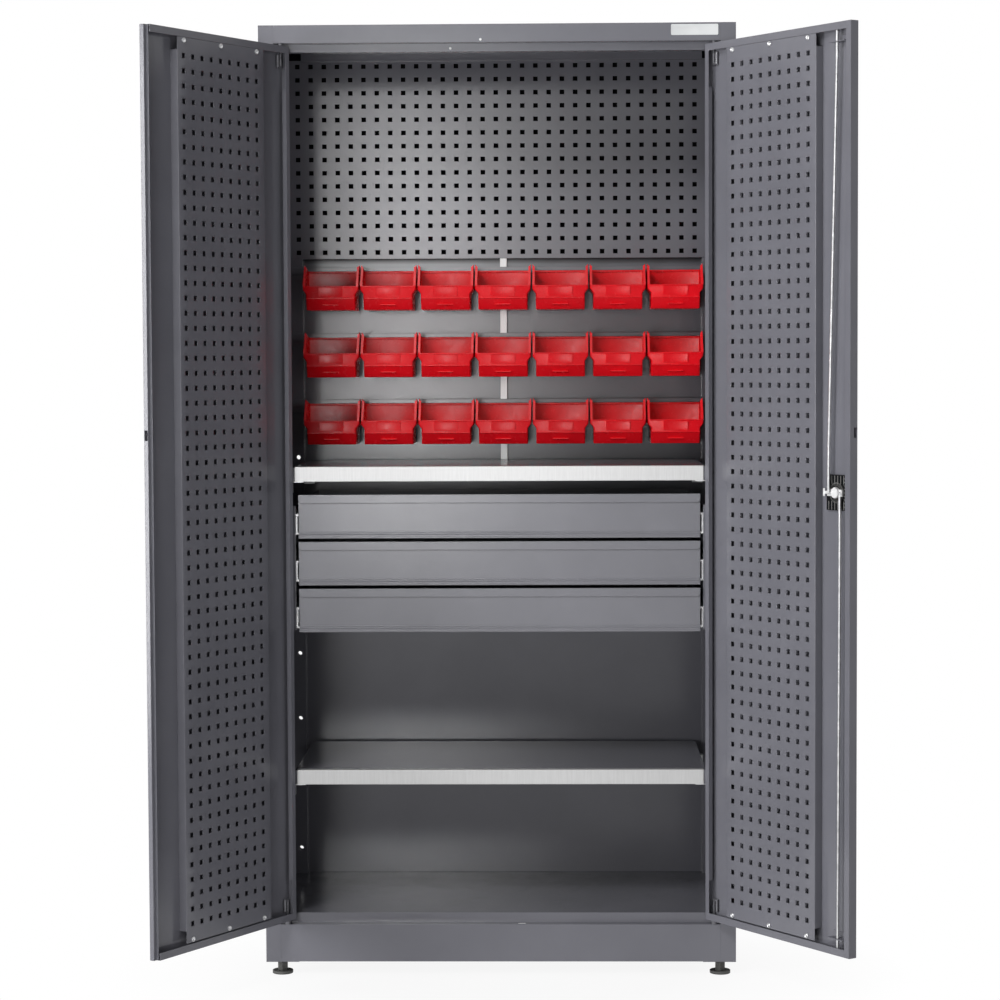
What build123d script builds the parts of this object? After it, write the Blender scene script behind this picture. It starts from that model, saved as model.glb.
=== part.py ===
"""Material storage cabinet: steel cupboard with two perforated doors, storage bins, drawers and shelves.

All sizes are millimetres. The cabinet is drawn from the middle of its front edge on the floor:
X runs to the right, Y runs back into the cabinet and Z runs up. The planes FLOOR, FACE and SIDE
carry those coordinates and put the origin in the middle of the footprint, open doors included.
"""

import os
from math import cos, radians, sin

from build123d import *

os.makedirs("parts", exist_ok=True)

# Carcass
WIDTH = 1000.0
DEPTH = 500.0
BODY_HEIGHT = 1982.0
FOOT_HEIGHT = 30.0
SHEET = 1.0
JAMB_WIDTH = 32.0
STOP_SETBACK = 25.0
STOP_WIDTH = 28.0
STOP_RETURN = 25.0
REAR_FLANGE = 25.0
PLINTH_HEIGHT = 80.7
PLINTH_STOP = 20.3
HEADER_HEIGHT = 37.5
HEADER_STOP = 16.5
BACK_SETBACK = 16.0
POST_DEPTH = 20.0
POST_WIDTH = 30.0
POST_INSET = 16.0
WALL_HOLE = 10.6
WALL_HOLE_FIRST = 190.0
WALL_HOLE_PITCH = 150.0
WALL_HOLES = 7
WALL_HOLE_INSET = 32.0
CORNER_PLATE = 70.0
CHANNEL_OVERLAP = 3.0

# Levelling feet
FOOT_INSET_X = 32.0
FOOT_INSET_Y = 31.0
FOOT_PAD_DIAMETER = 44.0
FOOT_PAD_HEIGHT = 7.0
FOOT_HEX = 23.0
FOOT_STUD = 8.0
FOOT_STUD_LENGTH = 18.0
FOOT_PAD_FACES = 16

# Perforated sheets
HOLE = 10.0
HOLE_PITCH = 30.0
BACK_PANEL_HEIGHT = 449.0
BACK_PANEL_DROP = 22.0
BACK_PANEL_FIRST_ROW = 15.0
BACK_PANEL_ROWS = 15
BACK_PANEL_COLUMNS = 31
BACK_PANEL_CENTRE = -12.5

# Storage bins and their rails
BIN_COLUMNS = 7
BIN_ROWS = 3
BIN_PITCH = 128.0
BIN_ROW_PITCH = 150.0
BIN_CENTRE = 4.0
BIN_BOTTOM = 1123.0
BIN_WIDTH = 124.0
BIN_WAIST = 109.0
BIN_WAIST_TOP = 35.0
BIN_SHOULDER = 45.0
BIN_DEPTH = 130.0
BIN_TOE = 12.0
BIN_FOLD = 26.0
BIN_FRONT_HEIGHT = 53.0
BIN_TIP_HEIGHT = 100.0
BIN_TIP_SETBACK = 45.0
BIN_REAR_HEIGHT = 90.0
BIN_WALL = 2.0
BIN_HOOK_WIDTH = 90.0
BIN_HOOK_DROP = 9.0
RAIL_RISE = 9.0
RAIL_HEIGHT = 30.0
RAIL_LIP = 13.0
RAIL_DEPTH = 7.0
HOOK_THICKNESS = 2.0
HANG_GAP = 0.3
STRUT_WIDTH = 15.0
STRUT_CENTRE = 3.0

# Shelves
SHELF_UPPER_TOP = 1084.0
SHELF_LOWER_TOP = 437.0
SHELF_HEIGHT = 30.0
SHELF_FRONT = 26.0
SHELF_SIDE_GAP = 2.0
SHELF_BACK_GAP = 1.0
TRIM_INSET = 5.0
TRIM_DEPTH = 18.0
CLIP_WIDTH = 20.0
CLIP_LENGTH = 24.0
CLIP_THICKNESS = 2.0

# Drawers
DRAWERS = 3
DRAWER_PITCH = 100.0
DRAWER_TOP = 1025.5
FRONT_HEIGHT = 93.5
FRONT_WIDTH = 853.0
FRONT_SETBACK = 28.0
PULL_HEIGHT = 18.0
PULL_DEPTH = 3.5
PULL_CORNER = 7.0
FOOT_LEDGE = 8.0
DRAWER_LENGTH = 410.0
DRAWER_SIDE_HEIGHT = 76.0
DRAWER_FLOOR_RISE = 8.0
CAGE_HALF_WIDTH = 433.0
CAGE_TOP = 1002.0
CAGE_BOTTOM = 736.7
CAGE_SETBACK = 10.0
CAGE_FLANGE = 20.0
CAGE_TIE_HEIGHT = 24.0
RUNNER_THICKNESS = 12.7
RUNNER_HEIGHT = 44.0
RUNNER_LENGTH = 400.0
RUNNER_FRONT = 46.0
RUNNER_SHEET = 1.2
RUNNER_GAP = 0.3
RUNNER_DROP = 63.5

# Doors
DOOR_DEPTH = 19.0
DOOR_BOTTOM_GAP = 9.8
DOOR_TOP_GAP = 6.5
JAMB_GAP = 2.0
PIN_INSET = 14.0
PIN_SETBACK = 5.0
HINGE_RETURN = 10.0
RETURN_CUT_LOWER = 84.5
RETURN_CUT_UPPER = 90.0
DOOR_LIP = 15.0
DOOR_LEFT_REACH = 455.5
DOOR_RIGHT_REACH = 449.5
DOOR_LEFT_ANGLE = 120.4
DOOR_RIGHT_ANGLE = 124.7
REBATE_WALL = 10.0
REBATE_LEDGE = 8.0
REBATE_UPSTAND = 5.0
EDGE_NOTCH_BOTTOM = 1154.0
EDGE_NOTCH_HEIGHT = 20.0
EDGE_NOTCH_DEPTH = 9.0
PIN_DIAMETER = 6.0
PIN_CLEARANCE = 0.3
PIN_REACH = 6.0
PIN_LENGTH = 42.0
PIN_LEG_OFFSET = 10.0
PIN_LEG_LENGTH = 24.0
BUSH_DIAMETER = 12.0
BUSH_GAP = 0.3

# Perforated door panels
TRAY_WIDTH = 285.0
TRAY_LEFT_START = 77.3
TRAY_RIGHT_START = 60.2
TRAY_LEFT_MARGIN = 25.0
TRAY_RIGHT_MARGIN = 20.4
TRAY_BOTTOM_GAP = 3.0
TRAY_TOP_GAP = 0.5
TRAY_FLANGE_NOTCH = 24.5
TRAY_SCREW_INSET = 6.0
SCREW_COLUMNS = (0, 4, 8)
SCREW_HEAD = 10.0
SCREW_HEAD_HEIGHT = 2.5
SCREW_STUD = 5.0
SCREW_CLEARANCE = 0.25

# Lock
LOCK_HEIGHT = 1043.6
CAM_ALONG = 395.0
CAM_RADIUS = 17.0
CAM_THICKNESS = 2.0
CAM_EYE = 12.0
CAM_HUB = 18.0
CAM_GAP = 0.3
SPINDLE = 10.0
CUP_ALONG = 397.0
CUP_WIDTH = 63.0
CUP_HEIGHT = 71.0
CUP_FLANGE = 6.0
CUP_FLANGE_THICKNESS = 2.0
CUP_DEPTH = 7.0
CUP_WALL = 2.0
LEVER_LENGTH = 46.0
LEVER_WIDTH = 11.0
LEVER_DEPTH = 14.0
LEVER_CORNER = 3.0
ROD_DIAMETER = 6.0
ROD_STANDOFF = 8.0
ROD_KNEE_RISE = 94.0
ROD_TIP_GAP = 2.0
ROD_UPPER_KNEE_ALONG = 379.0
ROD_UPPER_TIP_ALONG = 402.0
ROD_LOWER_TIP_ALONG = 408.5
ROD_TIP_STRAIGHT = 60.0
ROD_SLOT_LENGTH = 16.0
ROD_SLOT_WIDTH = 7.0
GUIDE_START = 384.0
GUIDE_LENGTH = 46.0
GUIDE_HEIGHT = 14.0
GUIDE_THICKNESS = 2.0
GUIDE_UPPER_DROP = 38.0
GUIDE_LOWER_RISE = 31.5

# Flat faces that stand for a round one where the shape repeats
ROUND_FACES = 12
SMALL_ROUND_FACES = 8
STUD_FACES = 6
HALF_FACE = 180.0 / ROUND_FACES

# Places worked out from the sizes above
HALF_WIDTH = WIDTH / 2
INSIDE = HALF_WIDTH - SHEET
JAMB = HALF_WIDTH - JAMB_WIDTH
STOP_EDGE = JAMB - STOP_WIDTH
STOP_BACK = STOP_SETBACK + STOP_RETURN
BODY_TOP = FOOT_HEIGHT + BODY_HEIGHT
CEILING = BODY_TOP - SHEET
PLINTH_TOP = FOOT_HEIGHT + PLINTH_HEIGHT
FLOOR_TOP = PLINTH_TOP + PLINTH_STOP
HEADER_BOTTOM = BODY_TOP - HEADER_HEIGHT
HEADER_STOP_BOTTOM = HEADER_BOTTOM - HEADER_STOP
BACK_INSIDE = DEPTH - SHEET
BACK_FACE = BACK_INSIDE - BACK_SETBACK
POST_FACE = BACK_FACE - POST_DEPTH
POST_OUTER = HALF_WIDTH - POST_INSET
POST_INNER = POST_OUTER - POST_WIDTH
BACK_PANEL_TOP = BODY_TOP - BACK_PANEL_DROP
BACK_PANEL_BOTTOM = BACK_PANEL_TOP - BACK_PANEL_HEIGHT
CHANNEL_BOTTOM = BACK_PANEL_TOP - CHANNEL_OVERLAP
SIDE_BOTTOM = FOOT_HEIGHT + SHEET
RAIL_TOP = BIN_BOTTOM + BIN_REAR_HEIGHT + RAIL_RISE
RAIL_FRONT = POST_FACE - RAIL_DEPTH
BIN_BACK = RAIL_FRONT - HANG_GAP
HOOK_SEAT = RAIL_TOP - RAIL_HEIGHT + RAIL_LIP
CAGE_FRONT = STOP_SETBACK + CAGE_SETBACK
RUNNER_HALF = RUNNER_HEIGHT / 2
DRAWER_HALF = CAGE_HALF_WIDTH - RUNNER_THICKNESS
PIN_X = JAMB - PIN_INSET
HINGE_EDGE = JAMB_GAP - PIN_INSET
DOOR_BOTTOM = PLINTH_TOP + DOOR_BOTTOM_GAP
DOOR_TOP = HEADER_BOTTOM - DOOR_TOP_GAP
OUTER = -PIN_SETBACK
SKIN = OUTER + SHEET
INNER = OUTER + DOOR_DEPTH
TRAY_BOTTOM = DOOR_BOTTOM + DOOR_LIP + TRAY_BOTTOM_GAP
TRAY_TOP = DOOR_TOP - DOOR_LIP - TRAY_TOP_GAP
CUP_FLOOR = OUTER + CUP_DEPTH
CAM_BACK = CUP_FLOOR + CAM_GAP
ROD_UPPER_TIP = DOOR_TOP - ROD_TIP_GAP
ROD_LOWER_TIP = DOOR_BOTTOM + ROD_TIP_GAP
GUIDE_UPPER = DOOR_TOP - GUIDE_UPPER_DROP
GUIDE_LOWER = DOOR_BOTTOM + GUIDE_LOWER_RISE


def free_edge(hand, reach, angle, depth):
    """Where the free edge of an open door stands, at a depth behind its outer face."""
    turn = radians(angle)
    x = -hand * PIN_X + hand * (reach * cos(turn) + depth * sin(turn))
    y = PIN_SETBACK - reach * sin(turn) + depth * cos(turn)
    return x, y


LEFT_REACH_X = free_edge(1, DOOR_LEFT_REACH, DOOR_LEFT_ANGLE, OUTER)[0]
RIGHT_REACH_X = free_edge(-1, DOOR_RIGHT_REACH, DOOR_RIGHT_ANGLE, OUTER)[0]
LEFT_REACH_Y = free_edge(1, DOOR_LEFT_REACH, DOOR_LEFT_ANGLE, REBATE_WALL - PIN_SETBACK)[1]
RIGHT_REACH_Y = free_edge(-1, DOOR_RIGHT_REACH, DOOR_RIGHT_ANGLE, INNER)[1]
CENTRE_X = (LEFT_REACH_X + RIGHT_REACH_X) / 2
CENTRE_Y = (min(LEFT_REACH_Y, RIGHT_REACH_Y) + DEPTH) / 2
CORNER = (-CENTRE_X, -CENTRE_Y, 0)

FLOOR = Plane(origin=CORNER, x_dir=(1, 0, 0), z_dir=(0, 0, 1))
FACE = Plane(origin=CORNER, x_dir=(1, 0, 0), z_dir=(0, -1, 0))
SIDE = Plane(origin=CORNER, x_dir=(0, 1, 0), z_dir=(1, 0, 0))


def at_depth(y):
    """Front view at a depth behind the cabinet's front: local X across, local Y up."""
    return FACE.offset(-y)


def block(x_from, x_to, y_from, y_to, z_from, z_to):
    """Plain block between six planes of the cabinet."""
    with BuildPart() as solid:
        with BuildSketch(FLOOR.offset(z_from)):
            with Locations(((x_from + x_to) / 2, (y_from + y_to) / 2)):
                Rectangle(x_to - x_from, y_to - y_from)
        extrude(amount=z_to - z_from)
    return solid.part


def folded_sheet(plane, points, length, side=Side.LEFT, thickness=SHEET, direction=None):
    """Sheet metal folded along the points, its thickness on one side of them, drawn out straight."""
    with BuildPart() as sheet:
        with BuildSketch(plane):
            with BuildLine():
                Polyline(*points)
                offset(amount=thickness, side=side, kind=Kind.INTERSECTION)
            make_face()
        extrude(amount=length, dir=direction)
    return sheet.part


def mirrored(points, hand):
    """The same outline on the left (hand -1) or on the right (hand 1) of the cabinet."""
    return [(hand * x, y) for x, y in points]


def material_side(hand):
    return Side.RIGHT if hand > 0 else Side.LEFT


def hole_columns(depth):
    """Cutters for the column of round holes near each rear edge, through a sheet at a depth."""
    with BuildPart() as cutters:
        with BuildSketch(at_depth(depth)):
            for x in (-HALF_WIDTH + WALL_HOLE_INSET, HALF_WIDTH - WALL_HOLE_INSET):
                for row in range(WALL_HOLES):
                    with Locations((x, WALL_HOLE_FIRST + row * WALL_HOLE_PITCH)):
                        RegularPolygon(WALL_HOLE / 2, SMALL_ROUND_FACES)
        extrude(amount=-2 * SHEET)
    return cutters.part


# Side panels, each one sheet with the jamb and the door stop folded into its front edge
side_profile = [
    (HALF_WIDTH - REAR_FLANGE, DEPTH),
    (HALF_WIDTH, DEPTH),
    (HALF_WIDTH, 0),
    (JAMB, 0),
    (JAMB, STOP_SETBACK),
    (STOP_EDGE, STOP_SETBACK),
    (STOP_EDGE, STOP_BACK),
]
for hand, name in ((-1, "left"), (1, "right")):
    with BuildPart() as side_panel:
        add(
            folded_sheet(
                FLOOR.offset(SIDE_BOTTOM),
                mirrored(side_profile, hand),
                CEILING - SIDE_BOTTOM,
                material_side(hand),
            )
        )
    side_panel.part.label = f"side_panel_{name}"
    export_step(side_panel.part, f"parts/side_panel_{name}.step")

# Back wall, a tray set forward between the side panels, with a column of holes near each edge
with BuildPart() as back_wall:
    add(
        folded_sheet(
            FLOOR.offset(FLOOR_TOP),
            [(-INSIDE, BACK_INSIDE), (-INSIDE, BACK_FACE), (INSIDE, BACK_FACE), (INSIDE, BACK_INSIDE)],
            CEILING - FLOOR_TOP,
        )
    )
    add(hole_columns(BACK_FACE), mode=Mode.SUBTRACT)
back_wall.part.label = "back_wall"
export_step(back_wall.part, "parts/back_wall.step")

# Rear corner posts, channels on the back wall that carry the rails and the shelf clips
with BuildPart() as corner_posts:
    for hand in (-1, 1):
        post_profile = [
            (POST_OUTER, BACK_FACE),
            (POST_OUTER, POST_FACE),
            (POST_INNER, POST_FACE),
            (POST_INNER, BACK_FACE),
        ]
        add(
            folded_sheet(
                FLOOR.offset(FLOOR_TOP),
                mirrored(post_profile, hand),
                CEILING - FLOOR_TOP,
                material_side(hand),
            )
        )
    add(hole_columns(POST_FACE), mode=Mode.SUBTRACT)
corner_posts.part.label = "corner_posts"
export_step(corner_posts.part, "parts/corner_posts.step")

# Top sheet with the header, its door stop and the channel above the perforated panel
with BuildPart() as top_panel:
    add(block(-HALF_WIDTH, HALF_WIDTH, 0, DEPTH, CEILING, BODY_TOP))
    add(
        folded_sheet(
            SIDE.offset(-JAMB),
            [(0, CEILING), (0, HEADER_BOTTOM), (STOP_SETBACK, HEADER_BOTTOM)],
            2 * JAMB,
        )
    )
    add(
        folded_sheet(
            SIDE.offset(-STOP_EDGE),
            [
                (STOP_SETBACK, HEADER_BOTTOM + SHEET),
                (STOP_SETBACK, HEADER_STOP_BOTTOM),
                (STOP_BACK, HEADER_STOP_BOTTOM),
            ],
            2 * STOP_EDGE,
        )
    )
    add(
        folded_sheet(
            SIDE.offset(-POST_INNER),
            [
                (RAIL_FRONT, CEILING),
                (RAIL_FRONT, CHANNEL_BOTTOM),
                (POST_FACE - SHEET, CHANNEL_BOTTOM),
            ],
            2 * POST_INNER,
        )
    )
    with BuildSketch(FLOOR.offset(HEADER_BOTTOM)):
        for hand in (-1, 1):
            with Locations((hand * PIN_X, PIN_SETBACK)):
                RegularPolygon(PIN_DIAMETER / 2 + PIN_CLEARANCE, ROUND_FACES, major_radius=False)
        with Locations((PIN_X - ROD_UPPER_TIP_ALONG, PIN_SETBACK + ROD_STANDOFF)):
            Rectangle(ROD_SLOT_LENGTH, ROD_SLOT_WIDTH)
    extrude(amount=2 * SHEET, mode=Mode.SUBTRACT)
top_panel.part.label = "top_panel"
export_step(top_panel.part, "parts/top_panel.step")

# Floor sheet with the plinth, its door stop, the rear plinth and the corner plates of the feet
with BuildPart() as floor_panel:
    add(
        folded_sheet(
            SIDE.offset(-JAMB),
            [
                (STOP_SETBACK, FOOT_HEIGHT + SHEET),
                (0, FOOT_HEIGHT + SHEET),
                (0, PLINTH_TOP),
                (STOP_SETBACK, PLINTH_TOP),
            ],
            2 * JAMB,
            Side.RIGHT,
        )
    )
    add(
        folded_sheet(
            SIDE.offset(-STOP_EDGE),
            [(STOP_SETBACK, PLINTH_TOP - SHEET), (STOP_SETBACK, FLOOR_TOP), (STOP_BACK, FLOOR_TOP)],
            2 * STOP_EDGE,
            Side.RIGHT,
        )
    )
    add(
        folded_sheet(
            SIDE.offset(-INSIDE),
            [
                (STOP_BACK, FLOOR_TOP),
                (BACK_INSIDE, FLOOR_TOP),
                (BACK_INSIDE, FOOT_HEIGHT + SHEET),
                (BACK_INSIDE - REAR_FLANGE, FOOT_HEIGHT + SHEET),
            ],
            2 * INSIDE,
            Side.RIGHT,
        )
    )
    for x in (-HALF_WIDTH, HALF_WIDTH - CORNER_PLATE):
        for y in (0, DEPTH - CORNER_PLATE):
            add(block(x, x + CORNER_PLATE, y, y + CORNER_PLATE, FOOT_HEIGHT, SIDE_BOTTOM))
    with BuildSketch(FLOOR.offset(PLINTH_TOP)):
        for hand in (-1, 1):
            with Locations((hand * PIN_X, PIN_SETBACK)):
                Circle(PIN_DIAMETER / 2 + PIN_CLEARANCE)
        with Locations((PIN_X - ROD_LOWER_TIP_ALONG, PIN_SETBACK + ROD_STANDOFF)):
            Rectangle(ROD_SLOT_LENGTH, ROD_SLOT_WIDTH)
    extrude(amount=-2 * SHEET, mode=Mode.SUBTRACT)
    with BuildSketch(FLOOR.offset(FOOT_HEIGHT)):
        for x in (-HALF_WIDTH + FOOT_INSET_X, HALF_WIDTH - FOOT_INSET_X):
            for y in (FOOT_INSET_Y, DEPTH - FOOT_INSET_Y):
                with Locations((x, y)):
                    RegularPolygon(FOOT_STUD / 2 + PIN_CLEARANCE, STUD_FACES, major_radius=False)
    extrude(amount=2 * SHEET, mode=Mode.SUBTRACT)
floor_panel.part.label = "floor_panel"
export_step(floor_panel.part, "parts/floor_panel.step")

# Levelling feet: round pad, hexagonal stem and threaded stud through the corner plate
with BuildPart() as levelling_feet:
    for x in (-HALF_WIDTH + FOOT_INSET_X, HALF_WIDTH - FOOT_INSET_X):
        for y in (FOOT_INSET_Y, DEPTH - FOOT_INSET_Y):
            with BuildSketch(FLOOR):
                with Locations((x, y)):
                    RegularPolygon(FOOT_PAD_DIAMETER / 2, FOOT_PAD_FACES)
            extrude(amount=FOOT_PAD_HEIGHT)
            with BuildSketch(FLOOR.offset(FOOT_PAD_HEIGHT)):
                with Locations((x, y)):
                    RegularPolygon(FOOT_HEX / 2, 6)
            extrude(amount=FOOT_HEIGHT - FOOT_PAD_HEIGHT)
            with BuildSketch(FLOOR.offset(FOOT_HEIGHT)):
                with Locations((x, y)):
                    RegularPolygon(FOOT_STUD / 2, STUD_FACES)
            extrude(amount=FOOT_STUD_LENGTH)
levelling_feet.part.label = "levelling_feet"
export_step(levelling_feet.part, "parts/levelling_feet.step")

# Perforated panel across the upper back, with flanges that stand it off the back wall
with BuildPart() as back_perforated_panel:
    panel_height = BACK_PANEL_TOP - BACK_PANEL_BOTTOM
    panel_first_row = BACK_PANEL_BOTTOM + BACK_PANEL_FIRST_ROW
    panel_middle = panel_first_row + (BACK_PANEL_ROWS - 1) * HOLE_PITCH / 2
    with BuildSketch(at_depth(POST_FACE)):
        with Locations((0, BACK_PANEL_BOTTOM + panel_height / 2)):
            Rectangle(2 * POST_OUTER, panel_height)
        with Locations((BACK_PANEL_CENTRE, panel_middle)):
            with GridLocations(HOLE_PITCH, HOLE_PITCH, BACK_PANEL_COLUMNS, BACK_PANEL_ROWS):
                Rectangle(HOLE, HOLE, mode=Mode.SUBTRACT)
    extrude(amount=SHEET)
    for z in (BACK_PANEL_BOTTOM, BACK_PANEL_TOP - SHEET):
        add(block(-POST_INNER + SHEET, POST_INNER - SHEET, POST_FACE, BACK_FACE, z, z + SHEET))
back_perforated_panel.part.label = "back_perforated_panel"
export_step(back_perforated_panel.part, "parts/back_perforated_panel.step")

# Bin rails: folded strips across the posts, each with an upturned lip for the hooks of the bins
with BuildPart() as bin_rails:
    for row in range(BIN_ROWS):
        rail_top = RAIL_TOP + row * BIN_ROW_PITCH
        rail_profile = [
            (POST_FACE, rail_top),
            (POST_FACE, rail_top - RAIL_HEIGHT),
            (RAIL_FRONT, rail_top - RAIL_HEIGHT),
            (RAIL_FRONT, rail_top - RAIL_HEIGHT + RAIL_LIP),
        ]
        add(folded_sheet(SIDE.offset(-POST_OUTER), rail_profile, 2 * POST_OUTER, Side.RIGHT))
bin_rails.part.label = "bin_rails"
export_step(bin_rails.part, "parts/bin_rails.step")

# Galvanised strut that stiffens the rails in the middle, open to the back
with BuildPart() as rail_strut:
    strut_left = STRUT_CENTRE - STRUT_WIDTH / 2
    strut_right = STRUT_CENTRE + STRUT_WIDTH / 2
    add(
        folded_sheet(
            FLOOR.offset(SHELF_UPPER_TOP),
            [
                (strut_left, BACK_FACE),
                (strut_left, POST_FACE),
                (strut_right, POST_FACE),
                (strut_right, BACK_FACE),
            ],
            BACK_PANEL_BOTTOM - SHELF_UPPER_TOP,
        )
    )
rail_strut.part.label = "rail_strut"
export_step(rail_strut.part, "parts/rail_strut.step")


def bin_form(skin):
    """Form of a storage bin at the first column and row: the outside, or the inside of its walls."""
    back = BIN_BACK - skin
    front = BIN_BACK - BIN_DEPTH + skin
    bottom = BIN_BOTTOM + skin
    rim = BIN_TIP_HEIGHT if skin else 0
    outline = [
        (front + BIN_TOE, bottom),
        (back, bottom),
        (back, BIN_BOTTOM + BIN_REAR_HEIGHT + rim),
        (front + BIN_TIP_SETBACK, BIN_BOTTOM + BIN_TIP_HEIGHT + rim),
        (front, BIN_BOTTOM + BIN_FRONT_HEIGHT + rim),
        (front, BIN_BOTTOM + BIN_FOLD),
    ]
    half = BIN_WIDTH / 2 - skin
    waist = BIN_WAIST / 2 - skin
    waisted = [
        (-waist, bottom),
        (waist, bottom),
        (waist, BIN_BOTTOM + BIN_WAIST_TOP),
        (half, BIN_BOTTOM + BIN_SHOULDER),
        (half, BIN_BOTTOM + BIN_TIP_HEIGHT + rim),
        (-half, BIN_BOTTOM + BIN_TIP_HEIGHT + rim),
        (-half, BIN_BOTTOM + BIN_SHOULDER),
        (-waist, BIN_BOTTOM + BIN_WAIST_TOP),
    ]
    with BuildPart() as form:
        with BuildSketch(SIDE.offset(-half)):
            with BuildLine():
                Polyline(*outline, close=True)
            make_face()
        extrude(amount=2 * half)
        with BuildSketch(at_depth(back)):
            with BuildLine():
                Polyline(*waisted, close=True)
            make_face()
        extrude(amount=BIN_DEPTH, mode=Mode.INTERSECT)
    return form.part


# Storage bins: waisted hoppers with a low front and a hook behind that hangs over the rail's lip
with BuildPart() as bin_pattern:
    add(bin_form(0))
    add(bin_form(BIN_WALL), mode=Mode.SUBTRACT)
    hook_profile = [
        (BIN_BACK, HOOK_SEAT),
        (BIN_BACK, HOOK_SEAT + HOOK_THICKNESS),
        (POST_FACE - 2 * SHEET, HOOK_SEAT + HOOK_THICKNESS),
        (POST_FACE - 2 * SHEET, HOOK_SEAT - BIN_HOOK_DROP),
        (POST_FACE - 2 * SHEET - HOOK_THICKNESS, HOOK_SEAT - BIN_HOOK_DROP),
        (POST_FACE - 2 * SHEET - HOOK_THICKNESS, HOOK_SEAT),
    ]
    with BuildSketch(SIDE.offset(-BIN_HOOK_WIDTH / 2)):
        with BuildLine():
            Polyline(*hook_profile, close=True)
        make_face()
    extrude(amount=BIN_HOOK_WIDTH)

for row in range(BIN_ROWS):
    for column in range(BIN_COLUMNS):
        bin_x = BIN_CENTRE + (column - (BIN_COLUMNS - 1) / 2) * BIN_PITCH
        with BuildPart() as storage_bin:
            with Locations((bin_x, 0, row * BIN_ROW_PITCH)):
                add(bin_pattern.part)
        storage_bin.part.label = f"bin_{row + 1}_{column + 1}"
        export_step(storage_bin.part, f"parts/bin_{row + 1}_{column + 1}.step")


def shelf_sheet(top):
    """Shelf with its four edges folded down."""
    half = STOP_EDGE - SHELF_SIDE_GAP
    back = POST_FACE - SHELF_BACK_GAP
    bottom = top - SHELF_HEIGHT
    with BuildPart() as shelf:
        add(block(-half, half, SHELF_FRONT, back, bottom, top))
        add(
            block(-half + SHEET, half - SHEET, SHELF_FRONT + SHEET, back - SHEET, bottom, top - SHEET),
            mode=Mode.SUBTRACT,
        )
    return shelf.part


# The two alike shelves
with BuildPart() as shelves:
    add(shelf_sheet(SHELF_UPPER_TOP))
    add(shelf_sheet(SHELF_LOWER_TOP))
shelves.part.label = "shelves"
export_step(shelves.part, "parts/shelves.step")

# Galvanised channels pushed over the front edges of the shelves
with BuildPart() as shelf_trims:
    trim_half = STOP_EDGE - SHELF_SIDE_GAP - TRIM_INSET
    for top in (SHELF_UPPER_TOP, SHELF_LOWER_TOP):
        trim_profile = [
            (SHELF_FRONT + TRIM_DEPTH, top),
            (SHELF_FRONT, top),
            (SHELF_FRONT, top - SHELF_HEIGHT),
            (SHELF_FRONT - SHEET, top - SHELF_HEIGHT),
            (SHELF_FRONT - SHEET, top + SHEET),
            (SHELF_FRONT + TRIM_DEPTH, top + SHEET),
        ]
        with BuildSketch(SIDE.offset(-trim_half)):
            with BuildLine():
                Polyline(*trim_profile, close=True)
            make_face()
        extrude(amount=2 * trim_half)
shelf_trims.part.label = "shelf_trims"
export_step(shelf_trims.part, "parts/shelf_trims.step")

# Shelf clips: small angles on the door stops and on the rear posts, under the shelf corners
with BuildPart() as shelf_clips:
    for top in (SHELF_UPPER_TOP, SHELF_LOWER_TOP):
        seat = top - SHELF_HEIGHT
        for hand in (-1, 1):
            front_clip = [
                (hand * STOP_EDGE, seat - CLIP_LENGTH),
                (hand * STOP_EDGE, seat),
                (hand * (STOP_EDGE - CLIP_LENGTH), seat),
            ]
            add(
                folded_sheet(
                    at_depth(STOP_BACK),
                    front_clip,
                    CLIP_WIDTH,
                    Side.RIGHT if hand < 0 else Side.LEFT,
                    CLIP_THICKNESS,
                )
            )
            rear_clip = [
                (POST_FACE, seat - CLIP_LENGTH),
                (POST_FACE, seat),
                (POST_FACE - CLIP_LENGTH, seat),
            ]
            clip_start = -POST_INNER - SHEET if hand < 0 else POST_INNER + SHEET - CLIP_LENGTH
            add(
                folded_sheet(
                    SIDE.offset(clip_start),
                    rear_clip,
                    CLIP_LENGTH,
                    Side.LEFT,
                    CLIP_THICKNESS,
                )
            )
shelf_clips.part.label = "shelf_clips"
export_step(shelf_clips.part, "parts/shelf_clips.step")

# Drawer cage: a plate at each side, flanged to the door stop and to the rear post, and a rear tie
with BuildPart() as drawer_cage:
    for hand in (-1, 1):
        cage_profile = [
            (STOP_EDGE, CAGE_FRONT),
            (CAGE_HALF_WIDTH, CAGE_FRONT),
            (CAGE_HALF_WIDTH, POST_FACE),
            (POST_INNER + CAGE_FLANGE, POST_FACE),
        ]
        add(
            folded_sheet(
                FLOOR.offset(CAGE_BOTTOM),
                mirrored(cage_profile, hand),
                CAGE_TOP - CAGE_BOTTOM,
                material_side(hand),
            )
        )
    add(
        block(
            -CAGE_HALF_WIDTH,
            CAGE_HALF_WIDTH,
            POST_FACE - SHEET,
            POST_FACE,
            CAGE_TOP - CAGE_TIE_HEIGHT,
            CAGE_TOP,
        )
    )
drawer_cage.part.label = "drawer_cage"
export_step(drawer_cage.part, "parts/drawer_cage.step")


def runner_height(drawer):
    """Height of the middle of a drawer's runners."""
    return DRAWER_TOP - drawer * DRAWER_PITCH - RUNNER_DROP


def runner_pair(drawer, profile):
    """One member of both runners of a drawer, drawn from (depth off the cage, height) points."""
    middle = runner_height(drawer)
    with BuildPart() as pair:
        for hand in (-1, 1):
            points = [(hand * (CAGE_HALF_WIDTH - t), middle + z) for t, z in profile]
            with BuildSketch(at_depth(RUNNER_FRONT + RUNNER_LENGTH)):
                with BuildLine():
                    Polyline(*points)
                    offset(
                        amount=RUNNER_SHEET,
                        side=Side.RIGHT if hand < 0 else Side.LEFT,
                        kind=Kind.INTERSECTION,
                    )
                make_face()
            extrude(amount=RUNNER_LENGTH)
    return pair.part


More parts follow.
